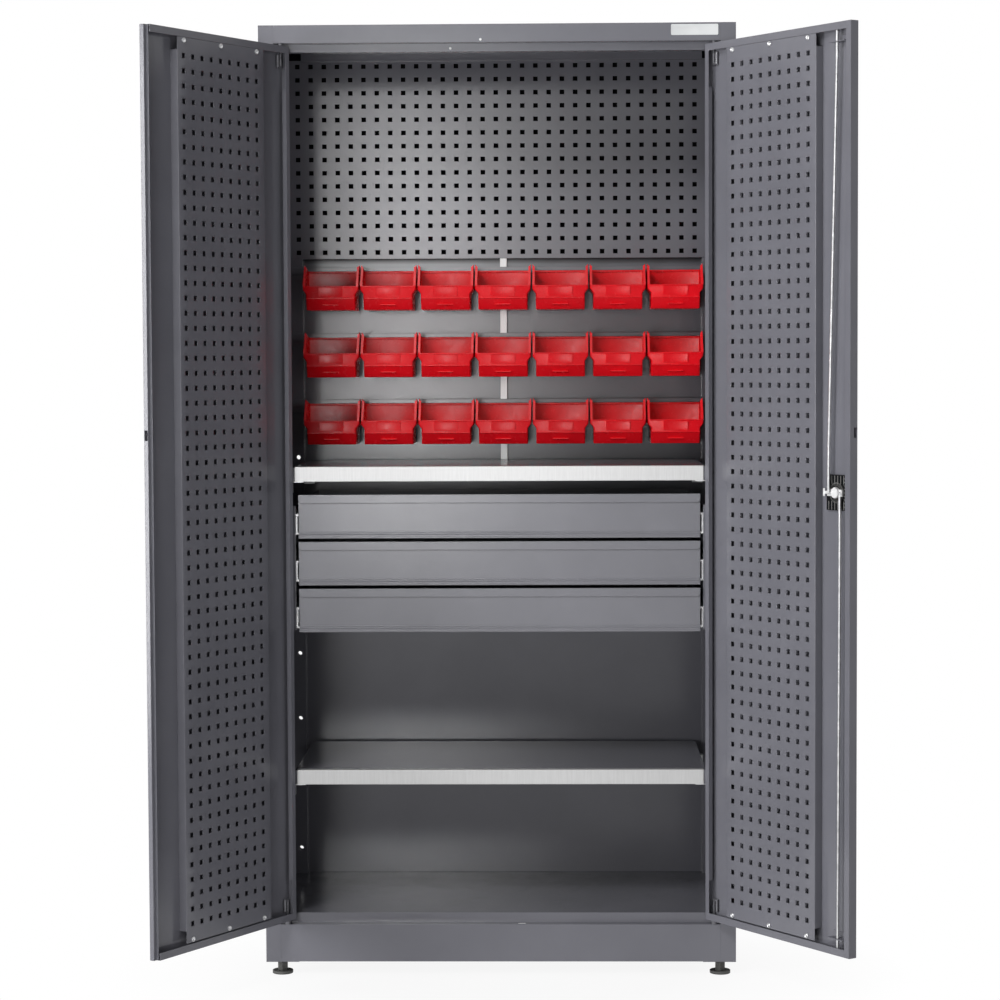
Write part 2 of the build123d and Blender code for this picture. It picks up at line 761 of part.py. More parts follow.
# Ball-bearing runners: the outer members on the cage, the middle ones and the inner ones nested
nesting = RUNNER_SHEET + RUNNER_GAP
outer_member = [
    (RUNNER_THICKNESS - nesting, -RUNNER_HALF),
    (0, -RUNNER_HALF),
    (0, RUNNER_HALF),
    (RUNNER_THICKNESS - nesting, RUNNER_HALF),
]
middle_member = [
    (RUNNER_THICKNESS - nesting, -RUNNER_HALF + nesting),
    (nesting, -RUNNER_HALF + nesting),
    (nesting, RUNNER_HALF - nesting),
    (RUNNER_THICKNESS - nesting, RUNNER_HALF - nesting),
]
inner_member = [
    (2 * nesting, RUNNER_HALF - 2 * nesting),
    (RUNNER_THICKNESS, RUNNER_HALF - 2 * nesting),
    (RUNNER_THICKNESS, -RUNNER_HALF + 2 * nesting),
    (2 * nesting, -RUNNER_HALF + 2 * nesting),
]
with BuildPart() as runners_outer:
    for drawer in range(DRAWERS):
        add(runner_pair(drawer, outer_member))
runners_outer.part.label = "runners_outer"
export_step(runners_outer.part, "parts/runners_outer.step")

for drawer in range(DRAWERS):
    with BuildPart() as runners_middle:
        add(runner_pair(drawer, middle_member))
    runners_middle.part.label = f"runners_middle_{drawer + 1}"
    export_step(runners_middle.part, f"parts/runners_middle_{drawer + 1}.step")

    with BuildPart() as runners_inner:
        add(runner_pair(drawer, inner_member))
    runners_inner.part.label = f"runners_inner_{drawer + 1}"
    export_step(runners_inner.part, f"parts/runners_inner_{drawer + 1}.step")

# Drawers: an open box behind a folded front with a pull band above and a stepped foot
front_half = FRONT_WIDTH / 2
face_plane = FRONT_SETBACK + PULL_DEPTH
for drawer in range(DRAWERS):
    top = DRAWER_TOP - drawer * DRAWER_PITCH
    front_profile = [
        (face_plane + SHEET, top - SHEET),
        (face_plane + SHEET, top - FRONT_HEIGHT + SHEET),
        (face_plane, top - FRONT_HEIGHT),
        (face_plane - SHEET, top - FRONT_HEIGHT + SHEET),
        (face_plane - SHEET, top - FRONT_HEIGHT + FOOT_LEDGE / 2),
        (face_plane, top - FRONT_HEIGHT + FOOT_LEDGE / 2),
        (face_plane, top - FRONT_HEIGHT + FOOT_LEDGE),
        (face_plane - SHEET, top - FRONT_HEIGHT + FOOT_LEDGE + SHEET),
        (face_plane, top - FRONT_HEIGHT + FOOT_LEDGE + 2 * SHEET),
        (face_plane, top - PULL_HEIGHT),
        (FRONT_SETBACK, top - PULL_HEIGHT),
        (FRONT_SETBACK, top),
        (face_plane + SHEET, top),
    ]
    box_bottom = top - FRONT_HEIGHT + DRAWER_FLOOR_RISE
    box_top = box_bottom + DRAWER_SIDE_HEIGHT
    box_front = face_plane + SHEET
    box_back = box_front + DRAWER_LENGTH
    with BuildPart() as drawer_box:
        with BuildSketch(SIDE.offset(-front_half)):
            with BuildLine():
                Polyline(*front_profile, close=True)
            make_face()
        extrude(amount=2 * front_half)
        band_corners = (
            drawer_box.edges()
            .filter_by(Axis.Y)
            .filter_by(lambda edge: abs(edge.center().Z - (top - PULL_HEIGHT)) < SHEET / 2)
        )
        fillet(band_corners, PULL_CORNER)
        add(block(-DRAWER_HALF, DRAWER_HALF, box_front, box_back, box_bottom, box_top))
        add(
            block(
                -DRAWER_HALF + SHEET,
                DRAWER_HALF - SHEET,
                box_front,
                box_back - SHEET,
                box_bottom + SHEET,
                box_top,
            ),
            mode=Mode.SUBTRACT,
        )
    drawer_box.part.label = f"drawer_{drawer + 1}"
    export_step(drawer_box.part, f"parts/drawer_{drawer + 1}.step")


class Door:
    """Directions and planes of one open door: along it from the pin, inward from its face, and up."""

    def __init__(self, hand, angle):
        turn = radians(angle)
        self.hand = hand
        self.along = Vector(hand * cos(turn), -sin(turn), 0)
        self.inward = Vector(hand * sin(turn), cos(turn), 0)
        self.pin = Vector(CORNER) + Vector(-hand * PIN_X, PIN_SETBACK, 0)

    def plan(self, z):
        """Plan view at a height; an inward measure is multiplied by the hand."""
        return Plane(origin=self.pin + Vector(0, 0, z), x_dir=self.along, z_dir=(0, 0, 1))

    def plan_points(self, points):
        return [(u, self.hand * v) for u, v in points]

    def facing(self, inward):
        """View along the door's thickness at a depth: local X along the door, local Y up."""
        return Plane(
            origin=self.pin + self.inward * inward,
            x_dir=self.along,
            z_dir=self.inward * -self.hand,
        )

    def end_on(self, along):
        """View along the door at a distance from the pin: local X inward, local Y up."""
        return Plane(
            origin=self.pin + self.along * along,
            x_dir=self.inward,
            z_dir=self.along * self.hand,
        )

    def block(self, u_from, u_to, v_from, v_to, z_from, z_to):
        """Plain block between six planes of the door."""
        with BuildPart() as solid:
            with BuildSketch(self.facing(v_from)):
                with Locations(((u_from + u_to) / 2, (z_from + z_to) / 2)):
                    Rectangle(u_to - u_from, z_to - z_from)
            extrude(amount=v_to - v_from, dir=self.inward)
        return solid.part

    def fold_plan(self, points, z_from, z_to, side=Side.LEFT):
        """Sheet folded along plan points, its thickness on their left as seen on the left door."""
        if self.hand < 0:
            side = Side.RIGHT if side == Side.LEFT else Side.LEFT
        return folded_sheet(self.plan(z_from), self.plan_points(points), z_to - z_from, side)

    def fold_end_on(self, points, u_from, u_to):
        """Sheet folded along (inward, up) points, its thickness on their left, along the door."""
        return folded_sheet(self.end_on(u_from), points, u_to - u_from, direction=self.along)


def door_shell(door, free_points, reach):
    """Door sheet with its folded edges, before the rebate, the notch and the lock's openings."""
    hinge_points = [
        (0, INNER - HINGE_RETURN),
        (0, INNER),
        (HINGE_EDGE, INNER),
        (HINGE_EDGE, OUTER),
    ]
    bottom_fold = [(SKIN, DOOR_BOTTOM), (INNER, DOOR_BOTTOM), (INNER, DOOR_BOTTOM + DOOR_LIP)]
    top_fold = [(INNER, DOOR_TOP - DOOR_LIP), (INNER, DOOR_TOP), (SKIN, DOOR_TOP)]
    with BuildPart() as shell:
        add(door.fold_plan(hinge_points + free_points, DOOR_BOTTOM, DOOR_TOP))
        add(door.fold_end_on(bottom_fold, HINGE_EDGE, reach))
        add(door.fold_end_on(top_fold, HINGE_EDGE, reach))
        for z_from, z_to in (
            (DOOR_BOTTOM + SHEET, DOOR_BOTTOM + RETURN_CUT_LOWER),
            (DOOR_TOP - RETURN_CUT_UPPER, DOOR_TOP - SHEET),
        ):
            cut_start = INNER - HINGE_RETURN - SHEET
            add(door.block(-SHEET, 0, cut_start, INNER - SHEET, z_from, z_to), mode=Mode.SUBTRACT)
        with BuildSketch(door.plan(DOOR_BOTTOM)):
            RegularPolygon(PIN_DIAMETER / 2 + PIN_CLEARANCE, ROUND_FACES, major_radius=False)
        extrude(amount=DOOR_TOP - DOOR_BOTTOM, mode=Mode.SUBTRACT)
        notch_top = EDGE_NOTCH_BOTTOM + EDGE_NOTCH_HEIGHT
        notch_depth = OUTER + EDGE_NOTCH_DEPTH
        add(
            door.block(reach - SHEET, reach + SHEET, SKIN, notch_depth, EDGE_NOTCH_BOTTOM, notch_top),
            mode=Mode.SUBTRACT,
        )
    return shell.part


def door_tray(door, start, margin):
    """Panel on the inside of a door, flush with its lips, on flanges that reach its sheet."""
    tray_points = [
        (start, SKIN),
        (start, INNER),
        (start + TRAY_WIDTH, INNER),
        (start + TRAY_WIDTH, SKIN),
    ]
    flange_bottom = TRAY_BOTTOM + TRAY_FLANGE_NOTCH
    flange_top = TRAY_TOP - TRAY_FLANGE_NOTCH
    with BuildPart() as tray:
        add(door.block(start, start + TRAY_WIDTH, INNER - SHEET, INNER, TRAY_BOTTOM, TRAY_TOP))
        add(door.fold_plan(tray_points, flange_bottom, flange_top, Side.RIGHT))
        with BuildSketch(door.facing(INNER)):
            for column in SCREW_COLUMNS:
                for z in (TRAY_BOTTOM + TRAY_SCREW_INSET, TRAY_TOP - TRAY_SCREW_INSET):
                    with Locations((start + margin + column * HOLE_PITCH, z)):
                        RegularPolygon(SCREW_STUD / 2 + SCREW_CLEARANCE, STUD_FACES, major_radius=False)
        extrude(amount=-2 * SHEET, dir=door.inward, mode=Mode.SUBTRACT)
    return tray.part


def door_screws(door, start, margin):
    """Weld studs of the door's sheet with the cap nuts that hold the panel."""
    with BuildPart() as screws:
        for column in SCREW_COLUMNS:
            for z in (TRAY_BOTTOM + TRAY_SCREW_INSET, TRAY_TOP - TRAY_SCREW_INSET):
                place = (start + margin + column * HOLE_PITCH, z)
                with BuildSketch(door.facing(SKIN)):
                    with Locations(place):
                        RegularPolygon(SCREW_STUD / 2, STUD_FACES)
                extrude(amount=INNER - SKIN, dir=door.inward)
                with BuildSketch(door.facing(INNER)):
                    with Locations(place):
                        RegularPolygon(SCREW_HEAD / 2, SMALL_ROUND_FACES)
                extrude(amount=SCREW_HEAD_HEIGHT, dir=door.inward)
    return screws.part


def hinge_pins(door):
    """Bent wire pins at the ends of a door, and the bush that carries it on the plinth."""
    turns = (
        (HEADER_BOTTOM + PIN_REACH, DOOR_TOP - PIN_LENGTH, 1),
        (PLINTH_TOP - PIN_REACH, DOOR_BOTTOM + PIN_LENGTH, -1),
    )
    with BuildPart() as pins:
        for tip, bend, up in turns:
            with BuildLine(door.facing(0)) as wire:
                Polyline(
                    (0, tip),
                    (0, bend),
                    (PIN_LEG_OFFSET, bend),
                    (PIN_LEG_OFFSET, bend + up * PIN_LEG_LENGTH),
                )
            with BuildSketch(Plane(origin=wire.line @ 0, z_dir=wire.line % 0)):
                RegularPolygon(PIN_DIAMETER / 2, ROUND_FACES)
            sweep(transition=Transition.RIGHT)
        with BuildSketch(door.plan(PLINTH_TOP + BUSH_GAP)):
            RegularPolygon(BUSH_DIAMETER / 2, ROUND_FACES)
            RegularPolygon(
                PIN_DIAMETER / 2 + PIN_CLEARANCE,
                ROUND_FACES,
                major_radius=False,
                mode=Mode.SUBTRACT,
            )
        extrude(amount=DOOR_BOTTOM - PLINTH_TOP - BUSH_GAP)
    return pins.part


left = Door(1, DOOR_LEFT_ANGLE)
right = Door(-1, DOOR_RIGHT_ANGLE)

# Left door: its free edge steps back so that the right door can close over it
with BuildPart() as door_left:
    rebate_back = OUTER + REBATE_WALL
    rebate_start = DOOR_LEFT_REACH - REBATE_LEDGE
    rebate_points = [
        (DOOR_LEFT_REACH, OUTER),
        (DOOR_LEFT_REACH, rebate_back),
        (rebate_start, rebate_back),
        (rebate_start, rebate_back + REBATE_UPSTAND),
    ]
    add(door_shell(left, rebate_points, DOOR_LEFT_REACH))
    rebate_end = DOOR_LEFT_REACH + SHEET
    add(
        left.block(rebate_start, rebate_end, rebate_back, INNER + SHEET, DOOR_BOTTOM, DOOR_TOP),
        mode=Mode.SUBTRACT,
    )
door_left.part.label = "door_left"
export_step(door_left.part, "parts/door_left.step")

with BuildPart() as door_left_panel:
    add(door_tray(left, TRAY_LEFT_START, TRAY_LEFT_MARGIN))
door_left_panel.part.label = "door_left_panel"
export_step(door_left_panel.part, "parts/door_left_panel.step")

with BuildPart() as door_left_screws:
    add(door_screws(left, TRAY_LEFT_START, TRAY_LEFT_MARGIN))
door_left_screws.part.label = "door_left_screws"
export_step(door_left_screws.part, "parts/door_left_screws.step")

with BuildPart() as door_left_pins:
    add(hinge_pins(left))
door_left_pins.part.label = "door_left_pins"
export_step(door_left_pins.part, "parts/door_left_pins.step")

# Right door: a lip all round, an opening for the handle cup and slots for the lock rods
with BuildPart() as door_right:
    lip_points = [
        (DOOR_RIGHT_REACH, OUTER),
        (DOOR_RIGHT_REACH, INNER),
        (DOOR_RIGHT_REACH - DOOR_LIP, INNER),
    ]
    add(door_shell(right, lip_points, DOOR_RIGHT_REACH))
    with BuildSketch(right.facing(OUTER)):
        with Locations((CUP_ALONG, LOCK_HEIGHT)):
            Rectangle(CUP_WIDTH, CUP_HEIGHT)
    extrude(amount=2 * SHEET, dir=right.inward, mode=Mode.SUBTRACT)
    for tip_along, z in (
        (ROD_UPPER_TIP_ALONG, DOOR_TOP - 2 * SHEET),
        (ROD_LOWER_TIP_ALONG, DOOR_BOTTOM - SHEET),
    ):
        with BuildSketch(right.plan(z)):
            with Locations((tip_along, -ROD_STANDOFF)):
                Rectangle(ROD_SLOT_LENGTH, ROD_SLOT_WIDTH)
        extrude(amount=3 * SHEET, mode=Mode.SUBTRACT)
door_right.part.label = "door_right"
export_step(door_right.part, "parts/door_right.step")

with BuildPart() as door_right_panel:
    add(door_tray(right, TRAY_RIGHT_START, TRAY_RIGHT_MARGIN))
door_right_panel.part.label = "door_right_panel"
export_step(door_right_panel.part, "parts/door_right_panel.step")

with BuildPart() as door_right_screws:
    add(door_screws(right, TRAY_RIGHT_START, TRAY_RIGHT_MARGIN))
door_right_screws.part.label = "door_right_screws"
export_step(door_right_screws.part, "parts/door_right_screws.step")

with BuildPart() as door_right_pins:
    add(hinge_pins(right))
door_right_pins.part.label = "door_right_pins"
export_step(door_right_pins.part, "parts/door_right_pins.step")

# Handle cup: a flanged bowl let into the door, with a round bearing for the spindle
with BuildPart() as handle_housing:
    cup_left = CUP_ALONG - CUP_WIDTH / 2 + PIN_CLEARANCE
    cup_right = CUP_ALONG + CUP_WIDTH / 2 - PIN_CLEARANCE
    cup_low = LOCK_HEIGHT - CUP_HEIGHT / 2 + PIN_CLEARANCE
    cup_high = LOCK_HEIGHT + CUP_HEIGHT / 2 - PIN_CLEARANCE
    flange_front = OUTER - CUP_FLANGE_THICKNESS
    add(
        right.block(
            cup_left - CUP_FLANGE,
            cup_right + CUP_FLANGE,
            flange_front,
            OUTER,
            cup_low - CUP_FLANGE,
            cup_high + CUP_FLANGE,
        )
    )
    add(right.block(cup_left, cup_right, OUTER, CUP_FLOOR, cup_low, cup_high))
    add(
        right.block(
            cup_left + CUP_WALL,
            cup_right - CUP_WALL,
            flange_front,
            CUP_FLOOR - CUP_WALL,
            cup_low + CUP_WALL,
            cup_high - CUP_WALL,
        ),
        mode=Mode.SUBTRACT,
    )
    with BuildSketch(right.facing(CUP_FLOOR)):
        with Locations((CAM_ALONG, LOCK_HEIGHT)):
            RegularPolygon(SPINDLE / 2 + PIN_CLEARANCE, ROUND_FACES, major_radius=False)
    extrude(amount=-2 * CUP_WALL, dir=right.inward, mode=Mode.SUBTRACT)
handle_housing.part.label = "handle_housing"
export_step(handle_housing.part, "parts/handle_housing.step")

# Handle lever on its spindle, in the cup on the outside
with BuildPart() as handle_lever:
    lever_back = CUP_FLOOR - CUP_WALL - PIN_CLEARANCE
    with BuildSketch(right.facing(lever_back)) as lever_outline:
        with Locations((CAM_ALONG, LOCK_HEIGHT)):
            Rectangle(LEVER_LENGTH, LEVER_WIDTH)
        chamfer(lever_outline.vertices(), LEVER_CORNER)
    extrude(amount=-LEVER_DEPTH, dir=right.inward)
    with BuildSketch(right.facing(lever_back)):
        with Locations((CAM_ALONG, LOCK_HEIGHT)):
            Circle(SPINDLE / 2)
    extrude(amount=CAM_BACK - lever_back, dir=right.inward)
handle_lever.part.label = "handle_lever"
export_step(handle_lever.part, "parts/handle_lever.step")

# Cam on the inner end of the spindle, with an eye for each rod
with BuildPart() as lock_cam:
    with BuildSketch(right.facing(CAM_BACK)):
        with Locations((CAM_ALONG, LOCK_HEIGHT)):
            Rectangle(2 * CAM_RADIUS, CAM_EYE)
            RegularPolygon(CAM_HUB / 2, ROUND_FACES)
        with Locations((CAM_ALONG - CAM_RADIUS, LOCK_HEIGHT), (CAM_ALONG + CAM_RADIUS, LOCK_HEIGHT)):
            RegularPolygon(CAM_EYE / 2, ROUND_FACES, major_radius=False, rotation=HALF_FACE)
            RegularPolygon(
                SCREW_STUD / 2 + SCREW_CLEARANCE,
                ROUND_FACES,
                major_radius=False,
                mode=Mode.SUBTRACT,
            )
    extrude(amount=CAM_THICKNESS, dir=right.inward)
lock_cam.part.label = "lock_cam"
export_step(lock_cam.part, "parts/lock_cam.step")


def lock_rod(eye_along, up, knee_along, tip_along, tip):
    """Rod from its eye in the cam to its tip at the end of the door, with a peg in the eye."""
    knee = LOCK_HEIGHT + up * ROD_KNEE_RISE
    straight = tip - up * ROD_TIP_STRAIGHT
    with BuildPart() as rod:
        with BuildLine(right.facing(ROD_STANDOFF)) as route:
            Polyline(
                (eye_along, LOCK_HEIGHT),
                (knee_along, knee),
                (tip_along, straight),
                (tip_along, tip),
            )
        with BuildSketch(Plane(origin=route.line @ 0, z_dir=route.line % 0)):
            RegularPolygon(ROD_DIAMETER / 2, SMALL_ROUND_FACES)
        sweep(transition=Transition.RIGHT)
        with BuildSketch(right.facing(CAM_BACK)):
            with Locations((eye_along, LOCK_HEIGHT)):
                RegularPolygon(SCREW_STUD / 2, ROUND_FACES)
        extrude(amount=ROD_STANDOFF - CAM_BACK, dir=right.inward)
    return rod.part


with BuildPart() as lock_rod_upper:
    add(lock_rod(CAM_ALONG - CAM_RADIUS, 1, ROD_UPPER_KNEE_ALONG, ROD_UPPER_TIP_ALONG, ROD_UPPER_TIP))
lock_rod_upper.part.label = "lock_rod_upper"
export_step(lock_rod_upper.part, "parts/lock_rod_upper.step")

with BuildPart() as lock_rod_lower:
    lower_knee = CAM_ALONG + CAM_RADIUS
    add(lock_rod(CAM_ALONG + CAM_RADIUS, -1, lower_knee + SHEET, ROD_LOWER_TIP_ALONG, ROD_LOWER_TIP))
lock_rod_lower.part.label = "lock_rod_lower"
export_step(lock_rod_lower.part, "parts/lock_rod_lower.step")

# Rod guides: angles on the door's sheet, slotted for the sideways sway of the rods
with BuildPart() as rod_guides:
    for z, tip_along in ((GUIDE_UPPER, ROD_UPPER_TIP_ALONG), (GUIDE_LOWER, ROD_LOWER_TIP_ALONG)):
        guide_fold = [(SKIN, z + GUIDE_HEIGHT), (SKIN, z), (INNER, z)]
        guide = folded_sheet(
            right.end_on(GUIDE_START),
            guide_fold,
            GUIDE_LENGTH,
            thickness=GUIDE_THICKNESS,
            direction=right.along,
        )
        add(guide)
        with BuildSketch(right.plan(z)):
            with Locations((tip_along, -ROD_STANDOFF)):
                Rectangle(ROD_SLOT_LENGTH, ROD_SLOT_WIDTH)
        extrude(amount=GUIDE_THICKNESS, mode=Mode.SUBTRACT)
rod_guides.part.label = "rod_guides"
export_step(rod_guides.part, "parts/rod_guides.step")
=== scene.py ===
"""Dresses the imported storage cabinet: door panels, bins, lock, feet, finishes and studio."""

from math import cos, pi, radians, sin

import bmesh
import bpy
from mathutils import Matrix, Vector


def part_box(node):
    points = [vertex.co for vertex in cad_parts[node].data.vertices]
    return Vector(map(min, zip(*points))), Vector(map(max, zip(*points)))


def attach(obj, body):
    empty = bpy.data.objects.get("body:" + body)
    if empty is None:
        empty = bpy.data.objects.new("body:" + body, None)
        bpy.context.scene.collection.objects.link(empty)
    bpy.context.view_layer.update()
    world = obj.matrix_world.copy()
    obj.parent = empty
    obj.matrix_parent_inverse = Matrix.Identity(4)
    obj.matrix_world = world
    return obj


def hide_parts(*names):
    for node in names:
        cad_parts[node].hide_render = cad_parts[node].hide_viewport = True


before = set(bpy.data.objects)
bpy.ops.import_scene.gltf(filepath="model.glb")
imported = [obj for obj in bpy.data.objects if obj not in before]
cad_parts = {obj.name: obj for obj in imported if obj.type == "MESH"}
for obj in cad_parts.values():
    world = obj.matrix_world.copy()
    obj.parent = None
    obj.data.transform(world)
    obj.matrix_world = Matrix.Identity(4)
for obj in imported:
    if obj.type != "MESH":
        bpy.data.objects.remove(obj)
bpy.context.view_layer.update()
bpy.ops.object.select_all(action="DESELECT")

MM = 0.001

# The cabinet's own axes: X from its middle, Y back from its front, Z up from the floor
left_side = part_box("side_panel_left")
right_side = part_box("side_panel_right")
MIDDLE_X = (left_side[0].x + right_side[1].x) / 2
FRONT_Y = left_side[0].y
CABINET = Matrix.Translation((MIDDLE_X, FRONT_Y, 0))
PANEL_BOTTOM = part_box("back_perforated_panel")[0].z

# Doors as they stand in the photo, and the depths of their skin and lip from the pins
LEFT_ANGLE = radians(120.4)
RIGHT_ANGLE = radians(124.7)
PIN_X = 454 * MM
PIN_Y = 5 * MM
SKIN = -4 * MM
LIP = 14 * MM

# Perforation of the door panels
PITCH = 30 * MM
HOLE = 10 * MM
HOLES_ACROSS = 9
HOLES_UP = 59
FIRST_ROW = 176 * MM
LEFT_FIRST_COLUMN = 102.3 * MM
RIGHT_FIRST_COLUMN = 80.6 * MM

# Folded edges of the door panels
LEFT_TRAY_START = 77.3 * MM
RIGHT_TRAY_START = 60.2 * MM
TRAY_WIDTH = 285 * MM
TRAY_BOTTOM = 138.5 * MM
TRAY_TOP = 1952.5 * MM
FLANGE_NOTCH = 24.5 * MM
FLANGE_BEND = 1.2 * MM
SHEET = 1 * MM

# How near a point counts as being on a line or plane when parts of a mesh are picked
SLACK = 0.1 * MM


def door_matrix(hand, angle):
    """Door space to the frame: across from the pin (negative on the right door), inward and up."""
    across = Vector((cos(angle), -hand * sin(angle), 0))
    inward = Vector((hand * sin(angle), cos(angle), 0))
    pin = Vector((MIDDLE_X - hand * PIN_X, FRONT_Y + PIN_Y, 0))
    turn = Matrix((across, inward, (0, 0, 1))).transposed().to_4x4()
    return Matrix.Translation(pin) @ turn


LEFT_DOOR = door_matrix(1, LEFT_ANGLE)
RIGHT_DOOR = door_matrix(-1, RIGHT_ANGLE)


# Modelling helpers

def edit():
    bpy.ops.object.mode_set(mode="EDIT")


def leave_edit():
    bpy.ops.object.mode_set(mode="OBJECT")


def pick(mode, wanted):
    """Selects the faces, edges or vertices for which wanted holds, in edit mode."""
    bpy.ops.mesh.select_mode(type=mode)
    bpy.ops.mesh.select_all(action="DESELECT")
    mesh = bmesh.from_edit_mesh(bpy.context.object.data)
    parts = {"FACE": mesh.faces, "EDGE": mesh.edges, "VERT": mesh.verts}[mode]
    for part in parts:
        part.select_set(bool(wanted(part)))
    bmesh.update_edit_mesh(bpy.context.object.data)


def pick_faces(wanted):
    """Selects the faces for which wanted(centre, normal) holds."""
    pick("FACE", lambda face: wanted(face.calc_center_median(), face.normal))


def pick_edges(wanted):
    """Selects the edges for which wanted(end, end) holds."""
    pick("EDGE", lambda edge: wanted(edge.verts[0].co, edge.verts[1].co))


def pick_points(wanted):
    """Selects the vertices for which wanted(place) holds."""
    pick("VERT", lambda point: wanted(point.co))


def select_all_parts():
    bpy.ops.mesh.select_all(action="SELECT")


def move(x=0, y=0, z=0):
    """Moves what is selected."""
    bpy.ops.transform.translate(value=(x, y, z))


def inset(width):
    bpy.ops.mesh.inset(thickness=width)


def bevel(width, segments=2):
    bpy.ops.mesh.bevel(offset=width, segments=segments, affect="EDGES")


def cut(place, normal, clear_outer=False):
    """Bisects the whole mesh by a plane, in edit mode."""
    select_all_parts()
    bpy.ops.mesh.bisect(plane_co=place, plane_no=normal, clear_outer=clear_outer)


def add_modifier(kind, **settings):
    """Adds a modifier to the active piece and applies it."""
    modifier = bpy.context.object.modifiers.new(kind.title(), kind)
    for name, value in settings.items():
        setattr(modifier, name, value)
    bpy.ops.object.modifier_apply(modifier=modifier.name)


def repeat(count, step):
    """Repeats the active piece by a step and merges the edges that meet."""
    add_modifier(
        "ARRAY",
        count=count,
        use_relative_offset=False,
        use_constant_offset=True,
        constant_offset_displace=step,
        use_merge_vertices=True,
    )


def keep_place_in_mesh():
    bpy.ops.object.transform_apply(location=True, rotation=True, scale=True)


def select_only(piece):
    """Makes a piece the only one selected, and the active one."""
    bpy.ops.object.select_all(action="DESELECT")
    piece.select_set(True)
    bpy.context.view_layer.objects.active = piece


def start_block(low, high):
    """A cube between two corners, active and with its place in its mesh."""
    bpy.ops.object.select_all(action="DESELECT")
    low = Vector(low)
    high = Vector(high)
    bpy.ops.mesh.primitive_cube_add(size=1, location=(low + high) / 2, scale=high - low)
    keep_place_in_mesh()
    return bpy.context.object


def start_disc(centre, radius, depth, points=32, axis="Z"):
    """A cylinder round an axis, active and with its place in its mesh."""
    bpy.ops.object.select_all(action="DESELECT")
    turn = {"Z": (0, 0, 0), "Y": (pi / 2, 0, 0)}[axis]
    bpy.ops.mesh.primitive_cylinder_add(
        vertices=points, radius=radius, depth=depth, location=centre, rotation=turn
    )
    keep_place_in_mesh()
    return bpy.context.object


def rounded_block(low, high, radius):
    """A block with all its edges rounded."""
    piece = start_block(low, high)
    edit()
    select_all_parts()
    bevel(radius)
    leave_edit()
    return piece


def rounded_bar(low, high, radius):
    """A bar along X with its long edges rounded."""
    piece = start_block(low, high)
    edit()
    pick_edges(lambda a, b: abs(a.x - b.x) > 40 * MM)
    bevel(radius, 3)
    leave_edit()
    return piece


def put(piece, matrix):
    """Moves a finished piece to its place, kept in its mesh."""
    select_only(piece)
    piece.matrix_world = matrix
    keep_place_in_mesh()


def smooth(piece, angle=30):
    select_only(piece)
    bpy.ops.object.shade_smooth_by_angle(angle=radians(angle))


def copy_of(piece, offset):
    """A copy with its own mesh, moved by an offset."""
    twin = piece.copy()
    twin.data = piece.data.copy()
    bpy.context.scene.collection.objects.link(twin)
    twin.data.transform(Matrix.Translation(offset))
    return twin


def join(pieces):
    bpy.ops.object.select_all(action="DESELECT")
    for piece in pieces:
        piece.select_set(True)
    bpy.context.view_layer.objects.active = pieces[0]
    bpy.ops.object.join()
    return pieces[0]


def hand_over(piece, name, body, finish, stands_for=()):
    """Names a finished piece, gives it its finish and fixes it to its body."""
    piece.name = name
    piece.data.name = name
    piece.data.materials.clear()
    piece.data.materials.append(finish)
    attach(piece, body)
    if stands_for:
        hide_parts(*stands_for)


# Finishes

# Noise stays between these values nearly everywhere
NOISE_LOW = 0.3
NOISE_HIGH = 0.7


def noise(tree, scale, detail=4.0):
    """A noise texture on the piece's own coordinates."""
    node = tree.nodes.new("ShaderNodeTexNoise")
    node.inputs["Scale"].default_value = scale
    node.inputs["Detail"].default_value = detail
    place = tree.nodes.new("ShaderNodeTexCoord")
    tree.links.new(place.outputs["Object"], node.inputs["Vector"])
    return node


def spread(tree, pattern, low, high):
    """Maps a noise onto a range of values."""
    node = tree.nodes.new("ShaderNodeMapRange")
    node.inputs["From Min"].default_value = NOISE_LOW
    node.inputs["From Max"].default_value = NOISE_HIGH
    node.inputs["To Min"].default_value = low
    node.inputs["To Max"].default_value = high
    tree.links.new(pattern.outputs["Fac"], node.inputs["Value"])
    return node.outputs["Result"]


def two_tones(tree, pattern, dark, light):
    """Colours between two tones by a noise."""
    ramp = tree.nodes.new("ShaderNodeValToRGB")
    ramp.color_ramp.elements[0].position = NOISE_LOW
    ramp.color_ramp.elements[1].position = NOISE_HIGH
    ramp.color_ramp.elements[0].color = (*dark, 1)
    ramp.color_ramp.elements[1].color = (*light, 1)
    tree.links.new(pattern.outputs["Fac"], ramp.inputs["Fac"])
    return ramp.outputs["Color"]


def bumped(tree, shader, pattern, strength, distance, bend=0.0):
    """Fine relief from a noise, on edges rounded by a bend radius."""
    node = tree.nodes.new("ShaderNodeBump")
    node.inputs["Strength"].default_value = strength
    node.inputs["Distance"].default_value = distance
    tree.links.new(pattern.outputs["Fac"], node.inputs["Height"])
    if bend:
        rounding = tree.nodes.new("ShaderNodeBevel")
        rounding.samples = 4
        rounding.inputs["Radius"].default_value = bend
        tree.links.new(rounding.outputs["Normal"], node.inputs["Normal"])
    tree.links.new(node.outputs["Normal"], shader.inputs["Normal"])


def new_finish(name):
    finish = bpy.data.materials.new(name)
    finish.use_nodes = True
    return finish, finish.node_tree, finish.node_tree.nodes["Principled BSDF"]


def linear(red, green, blue):
    """A screen colour of 0 to 255 as the shader's linear values."""
    return tuple(((v / 255 + 0.055) / 1.055) ** 2.4 for v in (red, green, blue))


